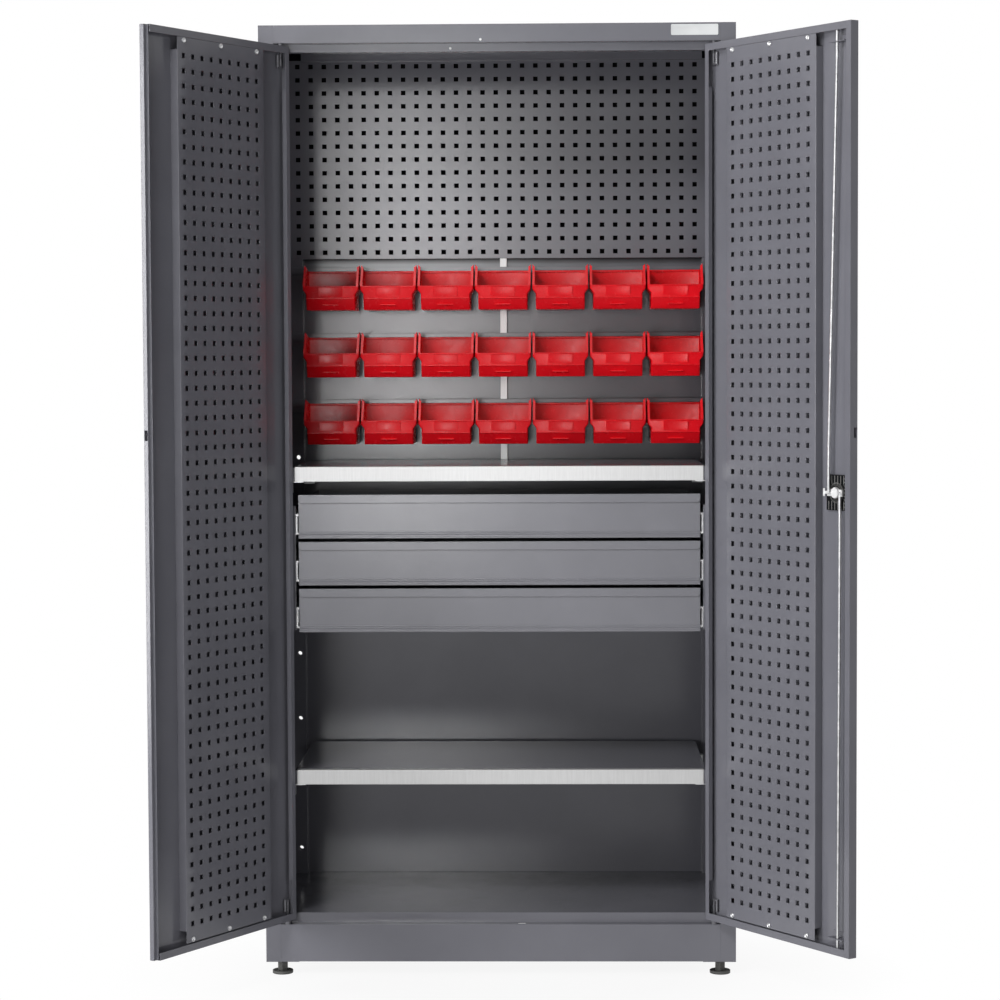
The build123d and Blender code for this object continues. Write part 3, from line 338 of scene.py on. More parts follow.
def powder_coat(name, dark, light, gloss=0.17):
    """Baked powder paint: faint clouding, fine orange peel and a few dull scuffs."""
    finish, tree, shader = new_finish(name)
    clouds = noise(tree, 7.0, 8.0)
    tree.links.new(two_tones(tree, clouds, dark, light), shader.inputs["Base Color"])
    scuffs = noise(tree, 60.0, 8.0)
    dullness = spread(tree, scuffs, gloss - 0.008, gloss + 0.016)
    tree.links.new(dullness, shader.inputs["Roughness"])
    peel = noise(tree, 620.0, 2.0)
    bumped(tree, shader, peel, 0.16, 0.3 * MM, 1.4 * MM)
    shader.inputs["Specular IOR Level"].default_value = 0.34
    return finish


def math_node(tree, operation):
    node = tree.nodes.new("ShaderNodeMath")
    node.operation = operation
    return node


def painted_shade_wall_coat(name, dark, light, edge):
    """Powder paint with painted shade: near black and without sheen above a height, on the side
    that a panel covers.
    """
    finish = powder_coat(name, dark, light)
    tree = finish.node_tree
    shader = tree.nodes["Principled BSDF"]
    place = tree.nodes.new("ShaderNodeTexCoord")
    height = tree.nodes.new("ShaderNodeSeparateXYZ")
    tree.links.new(place.outputs["Object"], height.inputs["Vector"])
    above = tree.nodes.new("ShaderNodeMapRange")
    above.inputs["From Min"].default_value = edge - 12 * MM
    above.inputs["From Max"].default_value = edge + 2 * MM
    tree.links.new(height.outputs["Z"], above.inputs["Value"])
    surface = tree.nodes.new("ShaderNodeNewGeometry")
    facing = tree.nodes.new("ShaderNodeSeparateXYZ")
    tree.links.new(surface.outputs["True Normal"], facing.inputs["Vector"])
    inside = math_node(tree, "LESS_THAN")
    inside.inputs[1].default_value = 0.5
    tree.links.new(facing.outputs["Y"], inside.inputs[0])
    painted_shade_share = math_node(tree, "MULTIPLY")
    tree.links.new(above.outputs["Result"], painted_shade_share.inputs[0])
    tree.links.new(inside.outputs["Value"], painted_shade_share.inputs[1])
    # Painted shade: the side behind the panel goes near black, so that its holes show only shade
    shade = tree.nodes.new("ShaderNodeMix")
    shade.data_type = "RGBA"
    tree.links.new(painted_shade_share.outputs["Value"], shade.inputs["Factor"])
    tree.links.new(shader.inputs["Base Color"].links[0].from_socket, shade.inputs["A"])
    shade.inputs["B"].default_value = (0.012, 0.012, 0.013, 1)
    tree.links.new(shade.outputs["Result"], shader.inputs["Base Color"])
    dulling = tree.nodes.new("ShaderNodeMapRange")
    dulling.inputs["To Min"].default_value = shader.inputs["Specular IOR Level"].default_value
    dulling.inputs["To Max"].default_value = 0.0
    tree.links.new(painted_shade_share.outputs["Value"], dulling.inputs["Value"])
    tree.links.new(dulling.outputs["Result"], shader.inputs["Specular IOR Level"])
    return finish


def zinc_plate(name, dark, light, gloss, metallic):
    """Bright metal: fine grain, clouded tone and small dents."""
    finish, tree, shader = new_finish(name)
    shader.inputs["Metallic"].default_value = metallic
    clouds = noise(tree, 60.0)
    tree.links.new(two_tones(tree, clouds, dark, light), shader.inputs["Base Color"])
    grain = noise(tree, 260.0, 6.0)
    tree.links.new(spread(tree, grain, gloss - 0.08, gloss + 0.1), shader.inputs["Roughness"])
    bumped(tree, shader, grain, 0.12, 0.2 * MM, 0.6 * MM)
    return finish


def galvanised_sheet(name):
    """Brushed galvanised strip: fine upright streaks of slightly different tone and dullness."""
    finish, tree, shader = new_finish(name)
    shader.inputs["Metallic"].default_value = 0.3
    streaks = noise(tree, 1.0, 3.0)
    stretch = tree.nodes.new("ShaderNodeMapping")
    stretch.inputs["Scale"].default_value = (420, 420, 26)
    tree.links.new(streaks.inputs["Vector"].links[0].from_socket, stretch.inputs["Vector"])
    tree.links.new(stretch.outputs["Vector"], streaks.inputs["Vector"])
    colour = two_tones(tree, streaks, linear(183, 183, 183), linear(191, 191, 191))
    tree.links.new(colour, shader.inputs["Base Color"])
    tree.links.new(spread(tree, streaks, 0.33, 0.38), shader.inputs["Roughness"])
    bumped(tree, shader, streaks, 0.04, 0.2 * MM, 1 * MM)
    return finish


def moulded_plastic(name, dark, light, gloss, grain_depth=0.1 * MM, shine=0.5):
    """Injection-moulded plastic: even colour, soft sheen and a very fine grain."""
    finish, tree, shader = new_finish(name)
    clouds = noise(tree, 18.0)
    tree.links.new(two_tones(tree, clouds, dark, light), shader.inputs["Base Color"])
    wipes = noise(tree, 90.0, 6.0)
    tree.links.new(spread(tree, wipes, gloss - 0.04, gloss + 0.06), shader.inputs["Roughness"])
    grain = noise(tree, 1400.0)
    bumped(tree, shader, grain, 0.1, grain_depth)
    shader.inputs["Specular IOR Level"].default_value = shine
    return finish


COAT_DARK = linear(104, 104, 111)
COAT_LIGHT = linear(110, 110, 117)
ANTHRACITE = powder_coat("anthracite_powder_coat", COAT_DARK, COAT_LIGHT)
# The drawers get a lighter copy of the anthracite paint: painted light for the brighter light on
# their fronts
DRAWER_COAT_PAINTED_LIGHTER = powder_coat("drawer_powder_coat_painted_lighter", linear(116, 116, 122), linear(122, 122, 128))
GALVANISED = galvanised_sheet("galvanised_sheet")
# The back wall carries painted shade where the perforated panel covers it
WALL_COAT_WITH_PAINTED_SHADE = painted_shade_wall_coat("wall_powder_coat_with_painted_shade", COAT_DARK, COAT_LIGHT, PANEL_BOTTOM)
CAST_ZINC = zinc_plate("cast_zinc", linear(208, 208, 209), linear(232, 232, 232), 0.4, 0.25)
CUP_BLACK = moulded_plastic("lock_cup_black", linear(8, 8, 9), linear(12, 12, 14), 0.55, shine=0.08)
ZINC = zinc_plate("zinc_plate", linear(182, 183, 185), linear(218, 218, 219), 0.34, 0.85)
DARK_STEEL = zinc_plate("painted_pin_steel", linear(92, 92, 97), linear(112, 112, 117), 0.3, 0.3)
RED_PLASTIC = moulded_plastic(
    "red_bin_plastic", linear(242, 16, 30), linear(250, 22, 36), 0.24, shine=0.17
)
BLACK_PLASTIC = moulded_plastic("black_plastic", linear(22, 22, 24), linear(30, 30, 33), 0.42)
BEARING_GREY = moulded_plastic(
    "bearing_grey", linear(66, 66, 66), linear(78, 78, 77), 0.45, shine=0.2
)
# The cup's ribs are light grey on the black cup: painted highlight, as if they catch the light
RIB_PAINTED_HIGHLIGHT = moulded_plastic(
    "rib_edges_painted_highlight", linear(112, 112, 112), linear(128, 128, 127), 0.45, shine=0.2
)
FOOT_PLASTIC = moulded_plastic(
    "foot_plastic", linear(52, 52, 51), linear(84, 84, 82), 0.6, 0.6 * MM
)
BARE_PLATE = moulded_plastic(
    "pale_label_plate", linear(206, 208, 209), linear(222, 224, 225), 0.35
)

# Solids that stay as packed: all are painted anthracite, apart from these
OTHER_FINISHES = {
    "back_wall": WALL_COAT_WITH_PAINTED_SHADE,
    "shelf_trims": GALVANISED,
    "rail_strut": GALVANISED,
    "shelf_clips": ZINC,
    "lock_rod_upper": ZINC,
    "lock_rod_lower": ZINC,
    "runners_outer": ZINC,
    "door_left_pins": DARK_STEEL,
    "door_right_pins": DARK_STEEL,
    "handle_lever": BLACK_PLASTIC,
    "handle_housing": CUP_BLACK,
}
for drawer in (1, 2, 3):
    OTHER_FINISHES[f"drawer_{drawer}"] = DRAWER_COAT_PAINTED_LIGHTER
    OTHER_FINISHES[f"runners_middle_{drawer}"] = ZINC
    OTHER_FINISHES[f"runners_inner_{drawer}"] = ZINC

for node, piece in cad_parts.items():
    piece.data.materials.clear()
    piece.data.materials.append(OTHER_FINISHES.get(node, ANTHRACITE))


# Perforated panels on the insides of the doors

def perforated_panel(hand, start, first_column):
    """One folded panel with its grid of square holes, in door space."""
    bpy.ops.object.select_all(action="DESELECT")
    first_hole = (hand * first_column, LIP, FIRST_ROW)
    bpy.ops.mesh.primitive_plane_add(size=PITCH, location=first_hole, rotation=(-pi / 2, 0, 0))
    keep_place_in_mesh()
    panel = bpy.context.object
    edit()
    select_all_parts()
    inset((PITCH - HOLE) / 2)
    bpy.ops.mesh.delete(type="FACE")
    leave_edit()
    repeat(HOLES_ACROSS, (hand * PITCH, 0, 0))
    repeat(HOLES_UP, (0, 0, PITCH))

    # The grid's outer edges are drawn out to the panel's own
    near = first_column - PITCH / 2
    far = near + HOLES_ACROSS * PITCH
    low = FIRST_ROW - PITCH / 2
    high = low + HOLES_UP * PITCH
    edit()
    pick_points(lambda p: abs(hand * p.x - near) < SLACK)
    move(x=hand * (start - near))
    pick_points(lambda p: abs(hand * p.x - far) < SLACK)
    move(x=hand * (start + TRAY_WIDTH - far))
    pick_points(lambda p: abs(p.z - low) < SLACK)
    move(z=TRAY_BOTTOM - low)
    pick_points(lambda p: abs(p.z - high) < SLACK)
    move(z=TRAY_TOP - high)

    # Flanges along both upright sides, between notches at the corners
    flange_low = TRAY_BOTTOM + FLANGE_NOTCH
    flange_high = TRAY_TOP - FLANGE_NOTCH
    cut((0, 0, flange_low), (0, 0, 1))
    cut((0, 0, flange_high), (0, 0, 1))

    def is_up_side(a, b, side):
        at_side = abs(hand * a.x - side) < SLACK and abs(hand * b.x - side) < SLACK
        above = min(a.z, b.z) > flange_low - SLACK
        below = max(a.z, b.z) < flange_high + SLACK
        return at_side and above and below

    def is_in_face(a, b):
        return abs(a.y - LIP) < SLACK and abs(b.y - LIP) < SLACK

    for side in (start, start + TRAY_WIDTH):
        pick_edges(lambda a, b: is_up_side(a, b, side))
        bpy.ops.mesh.extrude_region_move(TRANSFORM_OT_translate={"value": (0, SKIN - LIP, 0)})
        pick_edges(lambda a, b: is_up_side(a, b, side) and is_in_face(a, b))
        bevel(FLANGE_BEND, 3)

    # The face has to look into the cabinet, so that the sheet's thickness goes behind it
    select_all_parts()
    bpy.ops.mesh.normals_make_consistent(inside=False)
    mesh = bmesh.from_edit_mesh(panel.data)
    if any(face.normal.y < -0.5 for face in mesh.faces):
        select_all_parts()
        bpy.ops.mesh.flip_normals()
    leave_edit()
    add_modifier("SOLIDIFY", thickness=SHEET, offset=-1)
    smooth(panel, 40)
    return panel


for hand, door, start, first_column, matrix in (
    (1, "left", LEFT_TRAY_START, LEFT_FIRST_COLUMN, LEFT_DOOR),
    (-1, "right", RIGHT_TRAY_START, RIGHT_FIRST_COLUMN, RIGHT_DOOR),
):
    panel = perforated_panel(hand, start, first_column)
    put(panel, matrix)
    hand_over(
        panel,
        f"{door}_door_perforated_panel",
        f"{door}_door",
        ANTHRACITE,
        [f"door_{door}_panel"],
    )


# Screws that hold the door panels: low domed heads with a recess

SCREW_HEAD = 5 * MM
SCREW_COLUMNS = (0, 4, 8)
SCREW_INSET = 6 * MM


def domed_screw():
    """A domed head on a shank, its seat at the origin and its top towards +Y."""
    screw = start_disc((0, 1.1 * MM, 0), SCREW_HEAD, 2.2 * MM, 24, "Y")
    edit()
    pick_faces(lambda c, n: n.y > 0.9)
    inset(1.2 * MM)
    move(y=0.5 * MM)
    inset(2.2 * MM)
    move(y=-1.2 * MM)
    pick_faces(lambda c, n: n.y < -0.9)
    inset(2.7 * MM)
    bpy.ops.mesh.extrude_region_move(TRANSFORM_OT_translate={"value": (0, -15 * MM, 0)})
    leave_edit()
    smooth(screw, 50)
    return screw


screw_pattern = domed_screw()
for hand, door, first_column, matrix in (
    (1, "left", LEFT_FIRST_COLUMN, LEFT_DOOR),
    (-1, "right", RIGHT_FIRST_COLUMN, RIGHT_DOOR),
):
    screws = []
    for column in SCREW_COLUMNS:
        for z in (TRAY_BOTTOM + SCREW_INSET, TRAY_TOP - SCREW_INSET):
            place = (hand * (first_column + column * PITCH), LIP, z)
            screws.append(copy_of(screw_pattern, place))
    door_screws = join(screws)
    put(door_screws, matrix)
    hand_over(
        door_screws, f"{door}_door_screws", f"{door}_door", ZINC, [f"door_{door}_screws"]
    )
bpy.data.objects.remove(screw_pattern)


# Rear posts end under the perforated back panel, so that its outer holes are open behind

posts = copy_of(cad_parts["corner_posts"], (0, 0, 0))
select_only(posts)
edit()
select_all_parts()
bpy.ops.mesh.remove_doubles(threshold=0.01 * MM)
bpy.ops.mesh.bisect(
    plane_co=(0, 0, PANEL_BOTTOM), plane_no=(0, 0, 1), use_fill=True, clear_outer=True
)
leave_edit()
hand_over(posts, "rear_posts", "carcass", ANTHRACITE, ["corner_posts"])


# Storage bins

BIN_WIDTH = 124 * MM
BIN_DEPTH = 130 * MM
BIN_WAIST = 109 * MM
BIN_TIPS = 100 * MM
BIN_TIP_BACK = 85 * MM
BIN_REAR = 90 * MM
BIN_FOLD = 26 * MM
BIN_NARROW_TO = 35 * MM
BIN_WIDE_FROM = 45 * MM
BIN_FRONT = 53 * MM
BIN_TOE = 12 * MM
BIN_WALL = 2 * MM
BAND_LEAN = 3.5 * MM

# The bins' backs stand before the rails, and a hook behind each hangs over its rail's lip
BIN_BACK_Y = FRONT_Y + 455.7 * MM
RAIL_LIP = 13 * MM
HOOK_HALF_WIDTH = 45 * MM
HOOK_REACH = 4.5 * MM
HOOK_DROP = 9 * MM
HOOK_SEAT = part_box("bin_rails")[0].z + RAIL_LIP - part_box("bin_1_1")[0].z
HOOK_HIGH = HOOK_SEAT + BIN_WALL
HOOK_LOW = HOOK_SEAT - HOOK_DROP

# Stacking ribs, as shares of the sloping rim from the lip to the tip
RIB_COUNT = 5
FIRST_RIB = 0.12
RIB_SPACING = 0.18


def bin_hopper(tip, lip):
    """The bin's tapered shell, with its side rims sloping from the front lip to the tips."""
    half = BIN_WIDTH / 2
    hopper = start_block((-half, -BIN_DEPTH, 0), (half, 0, BIN_TIPS))
    edit()
    pick_faces(lambda c, n: n.z > 0.9)
    bpy.ops.mesh.delete(type="FACE")
    for z in (BIN_FOLD, BIN_NARROW_TO, BIN_WIDE_FROM):
        cut((0, 0, z), (0, 0, 1))
    slope = tip - lip
    cut(lip, (0, -slope.z, slope.y), clear_outer=True)
    cut(tip, (0, BIN_TIPS - BIN_REAR, BIN_TIP_BACK), clear_outer=True)

    # A narrow lower part, a toe set back and a front band that leans inward
    pick_points(lambda p: p.z < BIN_NARROW_TO + SLACK)
    bpy.ops.transform.resize(value=(BIN_WAIST / BIN_WIDTH, 1, 1), center_override=(0, 0, 0))
    pick_points(lambda p: p.z < SLACK and p.y < -BIN_DEPTH + SLACK)
    move(y=BIN_TOE)
    for z in (BIN_NARROW_TO, BIN_WIDE_FROM, BIN_FRONT):
        pick_points(lambda p: abs(p.z - z) < SLACK and p.y < -BIN_DEPTH + SLACK)
        move(y=BAND_LEAN * (z - BIN_FOLD) / (BIN_FRONT - BIN_FOLD))

    # Rounded upright corners and a rounded floor edge
    pick_edges(
        lambda a, b: abs(abs(a.x) - abs(b.x)) < 9 * MM
        and abs(a.y - b.y) < 13 * MM
        and abs(a.z - b.z) > SLACK
    )
    bevel(3.5 * MM, 4)
    pick_edges(lambda a, b: abs(a.z) < SLACK and abs(b.z) < SLACK)
    bevel(1.6 * MM, 4)
    leave_edit()
    add_modifier("SOLIDIFY", thickness=BIN_WALL, offset=-1, use_even_offset=True)
    return hopper


def label_pad():
    """A raised pad for a label on the front band."""
    front = -BIN_DEPTH - 1.2 * MM
    pad = start_block((-27 * MM, front, 30 * MM), (27 * MM, -BIN_DEPTH + 2 * MM, 50.5 * MM))
    edit()
    pick_points(lambda p: p.z > 50 * MM)
    move(y=0.9 * MM)
    pick_faces(lambda c, n: n.y < -0.9)
    inset(1.6 * MM)
    move(y=0.4 * MM)
    pick_edges(lambda a, b: abs(a.y - b.y) > 2 * MM and abs(a.z - b.z) < SLACK)
    bevel(0.6 * MM)
    leave_edit()
    return pad


def grip_ridge():
    """A small slanting ridge under the front, to pull the bin by."""
    ridge = start_block((-17 * MM, -124.5 * MM, 9 * MM), (17 * MM, -120 * MM, 12 * MM))
    edit()
    pick_faces(lambda c, n: n.y < -0.9)
    move(y=-2.6 * MM, z=1.2 * MM)
    pick_edges(lambda a, b: abs(a.x - b.x) > 20 * MM)
    bevel(0.8 * MM)
    leave_edit()
    return ridge


def stacking_ribs(tip, lip):
    """Stepped ribs along the inner edges of the sloping side rims."""
    half = BIN_WIDTH / 2
    ribs = []
    for side in (-1, 1):
        for step in range(RIB_COUNT):
            place = lip + (tip - lip) * (FIRST_RIB + RIB_SPACING * step)
            rib = start_block(
                (side * half - side * 5.2 * MM, place.y - 1.5 * MM, place.z - 6 * MM),
                (side * half - side * 0.2 * MM, place.y + 5.5 * MM, place.z + 4.2 * MM),
            )
            edit()
            select_all_parts()
            bpy.ops.mesh.normals_make_consistent(inside=False)
            pick_edges(lambda a, b: abs(a.y - b.y) > 2 * MM)
            bevel(0.6 * MM)
            leave_edit()
            ribs.append(rib)
    return ribs


def rail_hook():
    """The hook behind the bin: out from its back and down behind the rail's lip."""
    hook = start_block(
        (-HOOK_HALF_WIDTH, -0.5 * MM, HOOK_LOW), (HOOK_HALF_WIDTH, HOOK_REACH, HOOK_HIGH)
    )
    edit()
    pick_faces(lambda c, n: n.z < -0.9)
    bpy.ops.mesh.delete(type="FACE")
    pick_faces(lambda c, n: n.y < -0.9)
    bpy.ops.mesh.delete(type="FACE")
    pick_edges(
        lambda a, b: min(a.y, b.y) > HOOK_REACH - SLACK
        and abs(a.z - b.z) < SLACK
        and a.z > HOOK_HIGH - SLACK
    )
    bevel(1.2 * MM, 3)
    leave_edit()
    add_modifier("SOLIDIFY", thickness=BIN_WALL, offset=-1)
    return hook


def storage_bin():
    """One moulded bin, its back wall in the plane Y = 0 and its floor on Z = 0."""
    tip = Vector((0, -BIN_TIP_BACK, BIN_TIPS))
    lip = Vector((0, -BIN_DEPTH, BIN_FRONT))
    bead_reach = BIN_WIDTH / 2 - 3 * MM
    hopper = bin_hopper(tip, lip)
    pad = label_pad()
    fold_bead = rounded_bar(
        (-53.5 * MM, -BIN_DEPTH - 0.9 * MM, 24.4 * MM),
        (53.5 * MM, -BIN_DEPTH + 1.6 * MM, 27 * MM),
        0.7 * MM,
    )
    ledge = rounded_bar(
        (-58 * MM, -BIN_DEPTH + 2.2 * MM, 50.6 * MM),
        (58 * MM, -BIN_DEPTH + 5.2 * MM, 53.6 * MM),
        0.9 * MM,
    )
    ridge = grip_ridge()
    ribs = stacking_ribs(tip, lip)
    rear_bead = rounded_bar(
        (-bead_reach, -5 * MM, BIN_REAR - 5 * MM), (bead_reach, -1 * MM, BIN_REAR), 1.2 * MM
    )
    hook = rail_hook()
    whole = join([hopper, pad, fold_bead, ledge, ridge, *ribs, rear_bead, hook])
    smooth(whole, 24)
    return whole


bin_pattern = storage_bin()
for row in (1, 2, 3):
    for column in range(1, 8):
        body = f"bin_{row}_{column}"
        low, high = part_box(body)
        place = ((low.x + high.x) / 2, BIN_BACK_Y, low.z)
        full_bin = copy_of(bin_pattern, place)
        hand_over(full_bin, f"storage_{body}", body, RED_PLASTIC, [body])
bpy.data.objects.remove(bin_pattern)


# Lock on the right door, in door space

CAM_ALONG = -395 * MM
LOCK_HEIGHT = 1043.6 * MM
CUP_BACK = 2 * MM
CAM_LOW = CUP_BACK + 0.3 * MM
UPRIGHT_RIB_PITCH = 9 * MM
SLANT_RIB_PITCH = 7 * MM
SLANT = radians(35)


def lock_cup_ribs():
    """Ribs moulded on the back of the handle cup: upright ones, and slanting ones further out."""
    ribs = []
    front = CUP_BACK - 0.8 * MM
    back = CUP_BACK + 0.2 * MM
    for step in range(6):
        x = CAM_ALONG + 23 * MM - step * UPRIGHT_RIB_PITCH
        for low, high in ((17 * MM, 34 * MM), (-34 * MM, -17 * MM)):
            rib = rounded_block(
                (x - 0.8 * MM, front, LOCK_HEIGHT + low),
                (x + 0.8 * MM, back, LOCK_HEIGHT + high),
                0.4 * MM,
            )
            ribs.append(rib)
    x = CAM_ALONG - 25 * MM
    for step in range(-4, 5):
        z = LOCK_HEIGHT + step * SLANT_RIB_PITCH
        rib = rounded_block(
            (x - 6 * MM, front, z - 0.6 * MM), (x + 3 * MM, back, z + 0.6 * MM), 0.4 * MM
        )
        edit()
        select_all_parts()
        bpy.ops.transform.rotate(value=SLANT, orient_axis="Y", center_override=(x, back, z))
        leave_edit()
        ribs.append(rib)
    return join(ribs)


ribs = lock_cup_ribs()
smooth(ribs)
put(ribs, RIGHT_DOOR)
hand_over(ribs, "handle_cup_ribs", "right_door", RIB_PAINTED_HIGHLIGHT)

bearing = start_disc((CAM_ALONG, CUP_BACK + 0.05 * MM, LOCK_HEIGHT), 21 * MM, 0.3 * MM, 48, "Y")
edit()
pick_faces(lambda c, n: n.y > 0.9)
inset(1.0 * MM)
inset(1.5 * MM)
move(y=-0.2 * MM)
leave_edit()
smooth(bearing)
put(bearing, RIGHT_DOOR)
hand_over(bearing, "spindle_bearing", "right_door", BEARING_GREY)


def cam_block(near, far, half_height, low, high, radius):
    """A rounded block of the cam, between two distances along from its spindle."""
    return rounded_block(
        (CAM_ALONG + near, low, LOCK_HEIGHT - half_height),
        (CAM_ALONG + far, high, LOCK_HEIGHT + half_height),
        radius,
    )


def cam_with_fork():
    """Pressed cam: body under the hub, neck, low tab beyond the upper rod's eye, and an ear."""
    body = cam_block(-22 * MM, 26 * MM, 7 * MM, CAM_LOW, CAM_LOW + 2 * MM, 0.5 * MM)
    neck = cam_block(24 * MM, 35 * MM, 3 * MM, CAM_LOW, CAM_LOW + 2 * MM, 0.4 * MM)
    tab = cam_block(33 * MM, 38 * MM, 8 * MM, CAM_LOW, CAM_LOW + 2.4 * MM, 0.6 * MM)
    ear = cam_block(-22 * MM, -19.5 * MM, 7 * MM, CAM_LOW + 1 * MM, CAM_LOW + 6 * MM, 0.5 * MM)
    hub = start_disc((CAM_ALONG, CAM_LOW + 2.8 * MM, LOCK_HEIGHT), 11 * MM, 5.4 * MM, 32, "Y")
    edit()
    pick_faces(lambda c, n: n.y > 0.9)
    bevel(1.0 * MM)
    pick_faces(lambda c, n: n.y > 0.9)
    inset(2.4 * MM)
    move(y=-1.2 * MM)
    inset(0.6 * MM)
    inset(1.0 * MM)
    move(y=1.6 * MM)
    leave_edit()
    return join([body, neck, tab, ear, hub])


cam = cam_with_fork()
smooth(cam)
put(cam, RIGHT_DOOR)
hand_over(cam, "cam_with_fork", "handle", CAST_ZINC, ["lock_cam"])


# Bare plate on the header

plate = start_block((364.5 * MM, -0.9 * MM, 1985.8 * MM), (463 * MM, 0, 2008.6 * MM))
edit()
pick_edges(lambda a, b: abs(a.y - b.y) > 0.5 * MM)
bevel(2.5 * MM, 3)
pick_faces(lambda c, n: n.y < -0.9)
inset(1.2 * MM)
move(y=0.25 * MM)
leave_edit()
smooth(plate)
put(plate, CABINET)
hand_over(plate, "header_plate", "carcass", BARE_PLATE)


# Blind rivets on the header and its stop

RIVET_PLACES = ((-33.7 * MM, 0, 1979.8 * MM), (-97.8 * MM, 25 * MM, 1964.5 * MM))
RIVET_RADIUS = 2.6 * MM
RIVET_RISE = 1.0 * MM

rivets = []
for x, y, z in RIVET_PLACES:
    rivet = start_disc((x, y - RIVET_RISE / 2, z), RIVET_RADIUS, RIVET_RISE, 24, "Y")
    edit()
    pick_faces(lambda c, n: n.y < -0.9)
    bevel(0.5 * MM)
    leave_edit()
    rivets.append(rivet)
both_rivets = join(rivets)
smooth(both_rivets, 50)
put(both_rivets, CABINET)
hand_over(both_rivets, "blind_rivets", "carcass", CAST_ZINC)


# Pressed bead above the foot of each drawer front, and the rolled edge below it

DRAWER_HALF_WIDTH = 426.5 * MM
DRAWER_FACE = 31.5 * MM


def drawer_beads(bottom):
    """The two rounded lines along the lower edge of a drawer front, its lower edge at a height."""
    lines = []
    for rise, height, proud in ((12 * MM, 2.6 * MM, 0.8 * MM), (0.6 * MM, 3 * MM, 0.6 * MM)):
        line = start_block(
            (-DRAWER_HALF_WIDTH + 1 * MM, DRAWER_FACE - proud, bottom + rise),
            (DRAWER_HALF_WIDTH - 1 * MM, DRAWER_FACE + 0.4 * MM, bottom + rise + height),
        )
        edit()
        pick_edges(lambda a, b: abs(a.x - b.x) > 40 * MM and max(a.y, b.y) < DRAWER_FACE)
        bevel(0.7 * MM, 3)
        leave_edit()
        lines.append(line)
    return join(lines)


for drawer in (1, 2, 3):
    beads = drawer_beads(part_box(f"drawer_{drawer}")[0].z)
    smooth(beads, 40)
    put(beads, CABINET)
    body = f"drawer_{drawer}_slide"
    hand_over(beads, f"drawer_front_beads_{drawer}", body, DRAWER_COAT_PAINTED_LIGHTER)


# Levelling feet: round pad, hexagonal stem and threaded stud

FOOT_RADIUS = 22 * MM
FEET_X = (-468 * MM, 468 * MM)
FEET_Y = (31 * MM, 469 * MM)


def levelling_foot():
    """A foot standing on Z = 0 under the origin."""
    level = 0.05 * MM
    pad = start_disc((0, 0, 3.5 * MM), FOOT_RADIUS, 7 * MM, 48)
    edit()
    pick_faces(lambda c, n: n.z > 0.9)
    inset(4 * MM)
    move(z=-1 * MM)
    pick_edges(
        lambda a, b: abs(a.z - b.z) < level and abs(a.xy.length - FOOT_RADIUS) < 0.2 * MM
    )
    bevel(1.2 * MM, 3)
    leave_edit()
    stem = start_disc((0, 0, 18 * MM), 11.5 * MM, 24 * MM, 6)
    edit()
    pick_edges(lambda a, b: abs(a.z - b.z) < level)
    bevel(1.2 * MM)
    leave_edit()
    stud = start_disc((0, 0, 38 * MM), 4 * MM, 20 * MM, 24)
    foot = join([pad, stem, stud])
    smooth(foot, 35)
    return foot


foot_pattern = levelling_foot()
feet = [copy_of(foot_pattern, (x, y, 0)) for x in FEET_X for y in FEET_Y]
bpy.data.objects.remove(foot_pattern)
all_feet = join(feet)
put(all_feet, CABINET)
hand_over(
    all_feet, "round_levelling_feet", "carcass", FOOT_PLASTIC, ["levelling_feet"]
)


# Studio: white surroundings, and a floor that is white away from the cabinet

AMBIENT = 0.1
FLOOR_WHITE = (0.9, 0.9, 0.9, 1)
NEAR_GLOW = 0.9


def lit_only_for_camera(tree, strong, weak):
    """Mixes two shaders so that the camera, mirrors and glass see the strong one."""
    path = tree.nodes.new("ShaderNodeLightPath")
    seen = math_node(tree, "MAXIMUM")
    tree.links.new(path.outputs["Is Camera Ray"], seen.inputs[0])
    tree.links.new(path.outputs["Is Glossy Ray"], seen.inputs[1])
    seen_through = math_node(tree, "MAXIMUM")
    tree.links.new(seen.outputs["Value"], seen_through.inputs[0])
    tree.links.new(path.outputs["Is Transmission Ray"], seen_through.inputs[1])
    mix = tree.nodes.new("ShaderNodeMixShader")
    tree.links.new(seen_through.outputs["Value"], mix.inputs["Fac"])
    tree.links.new(weak, mix.inputs[1])
    tree.links.new(strong, mix.inputs[2])
    return mix.outputs["Shader"]


def white_background(tree, strength):
    node = tree.nodes.new("ShaderNodeBackground")
    node.inputs["Color"].default_value = (1, 1, 1, 1)
    node.inputs["Strength"].default_value = strength
    return node.outputs["Background"]


def studio_world():
    """White where the camera looks past the cabinet, but giving little light."""
    world = bpy.data.worlds.new("studio")
    bpy.context.scene.world = world
    world.use_nodes = True
    sky = world.node_tree
    sky.nodes.clear()
    white = white_background(sky, 1.0)
    ambient = white_background(sky, AMBIENT)
    output = sky.nodes.new("ShaderNodeOutputWorld")
    sky.links.new(lit_only_for_camera(sky, white, ambient), output.inputs["Surface"])


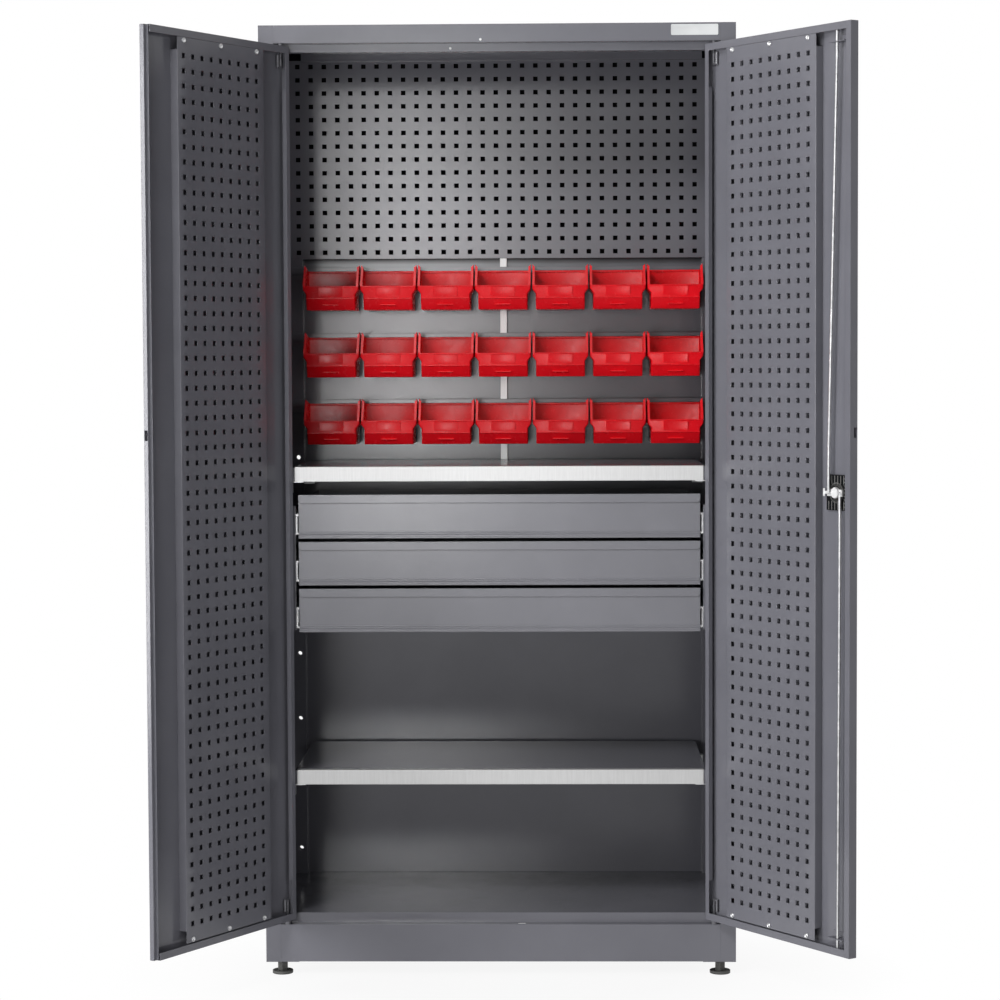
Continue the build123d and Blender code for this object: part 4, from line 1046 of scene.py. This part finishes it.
def studio_floor():
    """A paper floor that glows white far off, and takes a faint shadow near the feet."""
    bpy.ops.object.select_all(action="DESELECT")
    bpy.ops.mesh.primitive_plane_add(size=40, location=(0, 0, 0))
    floor = bpy.context.object
    floor.name = "studio_floor"
    finish, tree, shader = new_finish("studio_floor_white")
    shader.inputs["Base Color"].default_value = FLOOR_WHITE
    shader.inputs["Roughness"].default_value = 0.6
    bumped(tree, shader, noise(tree, 3.0), 0.02, 1 * MM)
    glow = tree.nodes.new("ShaderNodeEmission")
    glow.inputs["Color"].default_value = (1, 1, 1, 1)
    glow.inputs["Strength"].default_value = 1.0
    nearness = tree.nodes.new("ShaderNodeTexGradient")
    nearness.gradient_type = "SPHERICAL"
    reach = tree.nodes.new("ShaderNodeMapping")
    reach.inputs["Scale"].default_value = (1.15, 1.5, 1)
    ground = tree.nodes.new("ShaderNodeTexCoord")
    tree.links.new(ground.outputs["Object"], reach.inputs["Vector"])
    tree.links.new(reach.outputs["Vector"], nearness.inputs["Vector"])
    glow_share = tree.nodes.new("ShaderNodeMapRange")
    glow_share.inputs["From Max"].default_value = 0.55
    glow_share.inputs["To Min"].default_value = 1.0
    glow_share.inputs["To Max"].default_value = NEAR_GLOW
    tree.links.new(nearness.outputs["Fac"], glow_share.inputs["Value"])
    half_lit = tree.nodes.new("ShaderNodeMixShader")
    tree.links.new(glow_share.outputs["Result"], half_lit.inputs["Fac"])
    tree.links.new(shader.outputs["BSDF"], half_lit.inputs[1])
    tree.links.new(glow.outputs["Emission"], half_lit.inputs[2])
    seen = lit_only_for_camera(tree, half_lit.outputs["Shader"], shader.outputs["BSDF"])
    tree.links.new(seen, tree.nodes["Material Output"].inputs["Surface"])
    floor.data.materials.append(finish)


def soft_lamp(name, place, target, width, height, power):
    """A rectangular soft light aimed at a point."""
    lamp = bpy.data.lights.new(name, "AREA")
    lamp.shape = "RECTANGLE"
    lamp.size = width
    lamp.size_y = height
    lamp.energy = power
    holder = bpy.data.objects.new(name, lamp)
    bpy.context.scene.collection.objects.link(holder)
    holder.location = place
    holder.rotation_euler = (Vector(target) - Vector(place)).to_track_quat("-Z", "Y").to_euler()
    return holder


studio_world()
studio_floor()

# Lamps: a key and a sheen from the left, one from above, a weak fill and one low at the front
soft_lamp("key_left", (-4.5, -3.0, 1.5), (0.2, -0.1, 1.0), 1.0, 2.2, 140)
soft_lamp("front_above", (-2.2, -4.4, 4.6), (0, 0.1, 1.0), 1.6, 1.2, 139)
soft_lamp("right_fill", (4.2, -3.6, 1.9), (-0.2, -0.1, 1.0), 1.6, 2.0, 24)
soft_lamp("left_sheen", (-4.93, -1.97, 1.2), (-0.7, -0.44, 1.0), 0.5, 2.6, 58)
front_low = soft_lamp("front_low", (-1.3, -5.2, 0.8), (0, 0, 0.9), 1.2, 0.8, 44)
front_low.visible_glossy = False

# Bright panels beside the camera, seen only as sheen: bright at the left and fading to the right
SHEEN_Y = -5.65
SHEEN_MIDDLE = 1.56
SHEEN_HEIGHT = 1.96
for name, x, width, power in (
    ("sheen_bright", -0.62, 0.30, 44),
    ("sheen_middle", -0.30, 0.34, 18),
    ("sheen_faint", 0.02, 0.28, 4),
):
    place = (x, SHEEN_Y, SHEEN_MIDDLE)
    sheen = soft_lamp(name, place, (x, 0, SHEEN_MIDDLE), width, SHEEN_HEIGHT, power)
    sheen.visible_diffuse = False


# Camera at the photo's viewpoint

CAMERA_PLACE = Vector((0.12356973, -5.59583688, 1.30566454))
CAMERA_TURN = (radians(87.02629202), radians(0.26476077), radians(1.22174149))

lens = bpy.data.cameras.new("camera")
lens.sensor_width = 36
lens.lens = 95.62
camera = bpy.data.objects.new("camera", lens)
bpy.context.scene.collection.objects.link(camera)
camera.location = CABINET @ CAMERA_PLACE
camera.rotation_euler = CAMERA_TURN
bpy.context.scene.camera = camera
bpy.context.scene.view_settings.view_transform = "Standard"
